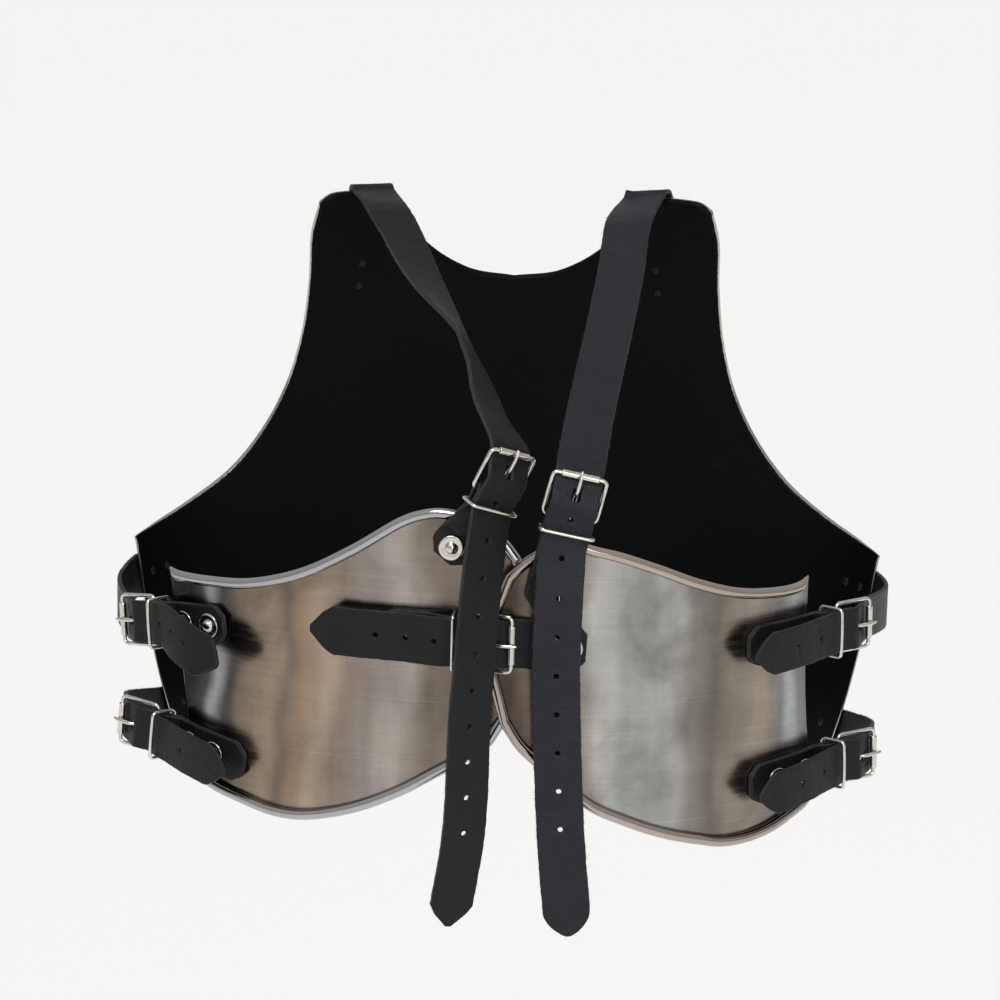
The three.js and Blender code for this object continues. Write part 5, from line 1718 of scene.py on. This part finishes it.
@dataclass(frozen=True)
class Nickel:
    """Nickel-plated steel wire, tumbled bright, with light tarnish that gathers in patches."""

    name: str = "nickel_plate"
    bright: str = "#d6d1c9"
    tarnish: str = "#8d857a"
    roughness: float = 0.12

    def material(self) -> bpy.types.Material:
        """Builds the material."""
        material, tree = fresh(self.name)
        place = add_node(tree, "ShaderNodeTexCoord").outputs["Object"]
        cloud = noise(tree, place, 260.0, 5.0, 0.6)
        share = between(tree, cloud, (0.5, 0.75), (0.0, 0.5))
        rough = between(tree, cloud, (0.35, 0.75), (self.roughness, self.roughness + 0.12))
        shader = add_node(tree, "ShaderNodeBsdfPrincipled", {}, {
            "Base Color": blended(tree, share, linear(self.bright), linear(self.tarnish)),
            "Metallic": 1.0, "Roughness": rough,
            "Normal": bumped(tree, noise(tree, place, 1700.0, 2.0), 0.2, 0.00005)})
        add_node(tree, "ShaderNodeOutputMaterial", {}, {"Surface": shader.outputs[0]})
        return material


@dataclass(frozen=True)
class Matt:
    """A plain matt surface: loose leather fibres, or the studio's painted floor."""

    name: str
    code: str
    roughness: float = 0.9

    def material(self) -> bpy.types.Material:
        """Builds the material, a little uneven in shade."""
        material, tree = fresh(self.name)
        place = add_node(tree, "ShaderNodeTexCoord").outputs["Object"]
        cloud = add_node(tree, "ShaderNodeTexNoise", {}, {"Vector": place, "Scale": 300.0, "Detail": 2.0})
        shade = add_node(tree, "ShaderNodeMapRange", {}, {
            "Value": cloud.outputs["Fac"], "To Min": 0.97, "To Max": 1.03})
        colour = add_node(tree, "ShaderNodeVectorMath", {"operation": "SCALE"},
                          {0: linear(self.code)[:3], "Scale": shade.outputs[0]})
        shader = add_node(tree, "ShaderNodeBsdfPrincipled", {}, {
            "Base Color": colour.outputs[0], "Roughness": self.roughness, "Specular IOR Level": 0.2})
        add_node(tree, "ShaderNodeOutputMaterial", {}, {"Surface": shader.outputs[0]})
        return material


# Studio


@dataclass
class Studio:
    """A pale floor far below, a soft sky, one high even light and one weak low one.

    The camera stands behind the wearer and a little above.
    """

    elevation: float = 13.0
    roll: float = 1.5
    distance: float = 2300.0
    aim: tuple[float, float, float] = (0.0, 70.0, -197.0)
    lens: float = 144.0
    shift: tuple[float, float] = (-0.007, 0.055)
    floor: float = -1300.0
    floor_code: str = "#f4f4f2"
    floor_half: float = 40000.0
    sky_strength: float = 0.62
    sun_way: tuple[float, float, float] = (0.25, 1.0, 1.3)
    sun_strength: float = 1.9
    sun_spread: float = 28.0
    low_place: tuple[float, float, float] = (-0.7, 2.4, 0.35)
    low_size: float = 1.0
    low_watts: float = 12.0
    lit: tuple[float, float, float] = (0.0, 0.1, -0.2)

    def camera(self) -> None:
        """Sets the camera at the photograph's viewing angle."""
        tilt, roll = math.radians(self.elevation), math.radians(self.roll)
        back = np.array([0, math.cos(tilt), math.sin(tilt)])
        right = np.array([-1.0, 0, 0])
        up = np.cross(back, right)
        turned_right = right * math.cos(roll) + up * math.sin(roll)
        turned_up = -right * math.sin(roll) + up * math.cos(roll)
        data = bpy.data.cameras.new("camera")
        data.lens = self.lens
        data.sensor_width = 36
        data.shift_x, data.shift_y = self.shift
        data.clip_start, data.clip_end = 0.05, 100
        camera = bpy.data.objects.new("camera", data)
        rows = np.stack([turned_right, turned_up, back], axis=1)
        stand = Vector((np.array(self.aim) + back * self.distance) * MM)
        camera.matrix_world = Matrix.Translation(stand) @ Matrix(rows.tolist()).to_4x4()
        bpy.context.scene.collection.objects.link(camera)
        bpy.context.scene.camera = camera

    def lamp(
        self, name: str, place: tuple[float, float, float], size: float, watts: float, code: str,
    ) -> None:
        """Adds a square soft light, in metres, that faces the cuirass."""
        data = bpy.data.lights.new(name, "AREA")
        data.shape = "SQUARE"
        data.size = size
        data.energy = watts
        data.color = linear(code)[:3]
        lamp = bpy.data.objects.new(name, data)
        lamp.location = place
        lamp.rotation_euler = (Vector(place) - Vector(self.lit)).to_track_quat("Z", "Y").to_euler()
        bpy.context.scene.collection.objects.link(lamp)

    def sun(self, way: tuple[float, float, float], strength: float, spread: float) -> None:
        """Adds an even light that comes from a direction, its source so many degrees wide."""
        data = bpy.data.lights.new("high_light", "SUN")
        data.energy = strength
        data.angle = math.radians(spread)
        sun = bpy.data.objects.new("high_light", data)
        sun.rotation_euler = Vector(way).to_track_quat("Z", "Y").to_euler()
        bpy.context.scene.collection.objects.link(sun)

    def sky(self) -> None:
        """Lights the scene from all round, brighter from above."""
        world = bpy.data.worlds.new("studio")
        world.use_nodes = True
        tree = world.node_tree
        tree.nodes.clear()
        way = add_node(tree, "ShaderNodeTexCoord").outputs["Generated"]
        up = add_node(tree, "ShaderNodeSeparateXYZ", {}, {0: way}).outputs[2]
        share = between(tree, up, (-0.3, 0.9))
        colour = ramp(tree, share, [(0.0, "#c9c4bd"), (0.4, "#d8d8da"), (1.0, "#ffffff")])
        background = add_node(tree, "ShaderNodeBackground", {}, {
            "Color": colour, "Strength": self.sky_strength})
        add_node(tree, "ShaderNodeOutputWorld", {}, {"Surface": background.outputs[0]})
        bpy.context.scene.world = world

    def build(self) -> None:
        """Makes camera, floor, sky and lights."""
        self.camera()
        self.sky()
        size = self.floor_half
        corners = np.array([[-size, -size, 0], [size, -size, 0], [size, size, 0], [-size, size, 0]])
        ground = Shape(corners + [0, 0, self.floor], [[0, 1, 2, 3]])
        ground.piece("studio_floor", Matt("studio_floor_paint", self.floor_code).material())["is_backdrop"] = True
        self.sun(self.sun_way, self.sun_strength, self.sun_spread)
        self.lamp("low_light", self.low_place, self.low_size, self.low_watts, "#ffffff")
        bpy.context.scene.view_settings.view_transform = "Standard"


# Assembly


@dataclass
class Harness:
    """All the leather, the buckles and their rivets."""

    nickel: bpy.types.Material
    leathers: dict[Tone, bpy.types.Material]
    fibres: bpy.types.Material
    enamel: bpy.types.Material
    scatter: Scatter

    def tone(self, name: str) -> Tone:
        """The shade of the leather in a set; the right shoulder strap gets the lighter, bluish copy with its
        painted sheen.
        """
        return Tone.BLUE if name == "shoulder_right" else Tone.BLACK

    def buckle(self, buckle: BuckleSet) -> None:
        """Makes a set's frame, roller, prong, keeper and chape."""
        for part, shape in (
            ("buckle_frame", buckle.frame_shape()), ("buckle_roller", buckle.roller_shape()),
            ("buckle_prong", buckle.prong_shape()), ("keeper", buckle.keeper_shape()),
        ):
            node = f"{buckle.name}_{part}"
            settle(shape.piece(f"dressed_{node}", self.nickel), "nickel", node)
        node = f"{buckle.name}_chape"
        settle(buckle.chape_shape().piece(f"dressed_{node}", self.leathers[Tone.BLACK]), "leather", node)

    def strap(
        self, strap: SideStrap | ShoulderStrap | CentreStrap, tip: list[list[float]], creases: float,
    ) -> None:
        """Makes a strap with its punched holes and the loose fibres of its cut edges."""
        buckle = SETS[strap.name]
        way = strap.route()
        rigid = buckle.rigid()
        along, off = buckle.in_frame(*PRONG_CROSSES)
        holes = [Hole(way.nearest(rigid(along, 0, off)), *PRONG_HOLE)]
        at_bar = way.nearest(rigid(0, 0, buckle.strap_over()[AT_BAR][1]))
        for k in range(strap.holes):
            holes.append(Hole(at_bar + strap.first + k * strap.pitch, HOLE_RADIUS, HOLE_RADIUS))
        strip = Strip(way, buckle.width, STRAP, CLIPPED, tip, holes, creases=creases, seed=buckle.seed + 20)
        node = f"{strap.name}_strap"
        settle(strip.shape().piece(f"dressed_{node}", self.leathers[self.tone(strap.name)]), "leather", node)
        self.fray(strap.name, strip, way)

    def fray(self, name: str, strip: Strip, way: Track) -> None:
        """Sets loose fibres along a strap's cut edges."""
        draw = np.random.default_rng(strip.seed)
        spots = []
        for s, w, crease in strip.cut_line:
            for _ in range(3):
                at = np.array([s + draw.uniform(-0.8, 0.8)])
                off = np.array([draw.uniform(-0.9, 0.9)])
                side = np.array([w])
                point = way.lift(at, side, off + crease)[0]
                out = unit(way.lift(at, side * 1.2, off * 1.4 + crease)[0] - point)
                spots.append((point, out))
        piece = self.scatter.bake(
            f"{name}_strap_fibres", spots, fibre_shape(), self.fibres, share=0.5, sizes=(0.3, 1.3),
            lean=(1.0, 1.0, 3.1), seed=strip.seed)
        settle(piece, "leather")

    def rivets(self) -> None:
        """Makes the rivet heads of each set, with the beaten-over ends inside the plates."""
        head, peened = rivet_shape(), peened_shape()
        for buckle in SETS.values():
            seen = buckle.rivet_spots(buckle.rivets)
            nodes = [f"{buckle.name}_chape_rivet_{k + 1}" for k in range(len(seen))]
            spots = seen + buckle.rivet_spots(HIDDEN_RIVETS.get(buckle.name, ()))
            depth = SEAT + SLAB + CLEAR + 0.1 + STEEL / 2
            piece = self.scatter.bake(
                f"{buckle.name}_chape_rivets", spots, head, self.nickel, seed=buckle.seed)
            settle(piece, "nickel", *nodes)
            ends = [(point - normal * depth, -normal) for point, normal in spots]
            settle(self.scatter.bake(f"{buckle.name}_chape_rivet_ends", ends, peened, self.enamel), "nickel")
        for strap in SIDE_STRAPS:
            off = ON_BREAST + EDGE_GAP + STRAP / 2 + CLEAR * 0.4
            spots = [strap.on_breast(inward, off) for inward in (27, 13)]
            self.strap_rivets(strap.name, spots, off + STEEL / 2, head, peened)
        for strap in SHOULDER_STRAPS:
            off = ON_BREAST + STRAP / 2 + 2.4 * CLEAR
            found = [strap.on_tab(z, outward, off) for z, outward in strap.rivets]
            self.strap_rivets(strap.name, [(p, n) for p, _, n in found], off + STEEL / 2, head, peened)
        centre = SETS["centre"]
        off = ON_BREAST + STRAP / 2
        spots = [RIGHT_PLAN.spot(CentreStrap().start + step, centre.z - 3.5, off) for step in (9, 20)]
        settle(self.scatter.bake("centre_strap_rivets", spots, head, self.nickel, seed=5), "nickel")

    def strap_rivets(
        self, name: str, spots: list[tuple[Array, Array]], depth: float, head: Shape, peened: Shape,
    ) -> None:
        """Makes a strap's own two rivets on the breastplate, heads outside and ends inside."""
        nodes = [f"{name}_strap_rivet_{k + 1}" for k in range(len(spots))]
        settle(self.scatter.bake(f"{name}_strap_rivets", spots, head, self.nickel, seed=7), "nickel", *nodes)
        ends = [(point - normal * depth, -normal) for point, normal in spots]
        settle(self.scatter.bake(f"{name}_strap_rivet_ends", ends, peened, self.enamel), "nickel")


# Each plate's painted reflections, as light and dark bands: how far round it, and the colour there; the front's
# is a painted highlight down the middle with shade towards the sides
LEFT_PAINTED_REFLECTIONS = (
    (0.0, "#8a8078"), (0.12, "#7f746b"), (0.25, "#857a70"), (0.33, "#b3aaa2"), (0.42, "#9c938b"),
    (0.5, "#9a8c80"), (0.56, "#b09e8c"), (0.62, "#a18b75"), (0.655, "#80746a"), (0.69, "#9c8b7a"),
    (0.76, "#8a7c6d"), (0.82, "#54504e"), (0.87, "#a3a2a2"), (0.91, "#4d4b4c"), (0.96, "#2b2b2e"),
    (1.0, "#1c1c1f"),
)
RIGHT_PAINTED_REFLECTIONS = (
    (0.0, "#5f6167"), (0.06, "#83868b"), (0.1, "#b0b2b4"), (0.14, "#8a8886"), (0.23, "#a4998b"),
    (0.31, "#91897d"), (0.38, "#7a746d"), (0.44, "#8d8882"), (0.5, "#b4b2ae"), (0.58, "#a9a7a2"),
    (0.66, "#bfbdb8"), (0.72, "#a09a92"), (0.8, "#94897c"), (0.87, "#776b5f"), (0.92, "#574d44"),
    (1.0, "#4a4139"),
)
FRONT_PAINTED_REFLECTIONS = (
    (0.0, "#7b756f"), (0.25, "#a9a39c"), (0.5, "#bdb8b1"), (0.75, "#a39b93"), (1.0, "#7b756f"),
)


def main() -> None:
    """Builds the whole cuirass and its studio."""
    logging.basicConfig(level=logging.INFO, format="%(name)s %(message)s")
    Studio().build()
    left = PlateSteel("brushed_steel_left", LEFT_PAINTED_REFLECTIONS, (-20, 205), "#b2b1b6").material()
    right = PlateSteel("brushed_steel_right", RIGHT_PAINTED_REFLECTIONS, (-198, 12), "#b3a69d").material()
    front = PlateSteel("brushed_steel_front", FRONT_PAINTED_REFLECTIONS, (-220, 220), "#b5aea8").material()
    Breastplate(front).build()
    BackPlate(Hand.LEFT, LEFT_PLAN, LEFT_OUTLINE, left).build()
    BackPlate(Hand.RIGHT, RIGHT_PLAN, RIGHT_OUTLINE, right).build()
    leathers = {tone: StrapLeather(f"{tone.value}_strap_leather", tone).material() for tone in Tone}
    fibres = Matt("leather_fibre", "#55555b").material()
    enamel = Matt("brushed_black_enamel", "#141414", 0.5).material()
    harness = Harness(Nickel().material(), leathers, fibres, enamel, Scatter())
    for buckle in SETS.values():
        harness.buckle(buckle)
    for strap in SIDE_STRAPS:
        harness.strap(strap, POINTED, 0.8)
    for strap in SHOULDER_STRAPS:
        harness.strap(strap, OGIVE if strap.name == "shoulder_right" else POINTED, 1.0)
    harness.strap(CentreStrap(), POINTED, 0.8)
    harness.rivets()
    boxes = {"cad": CAD_BOX, "visual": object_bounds()}
    {name: [list(corner) for corner in box] for name, box in boxes.items()}


if __name__ == "__main__":
    main()
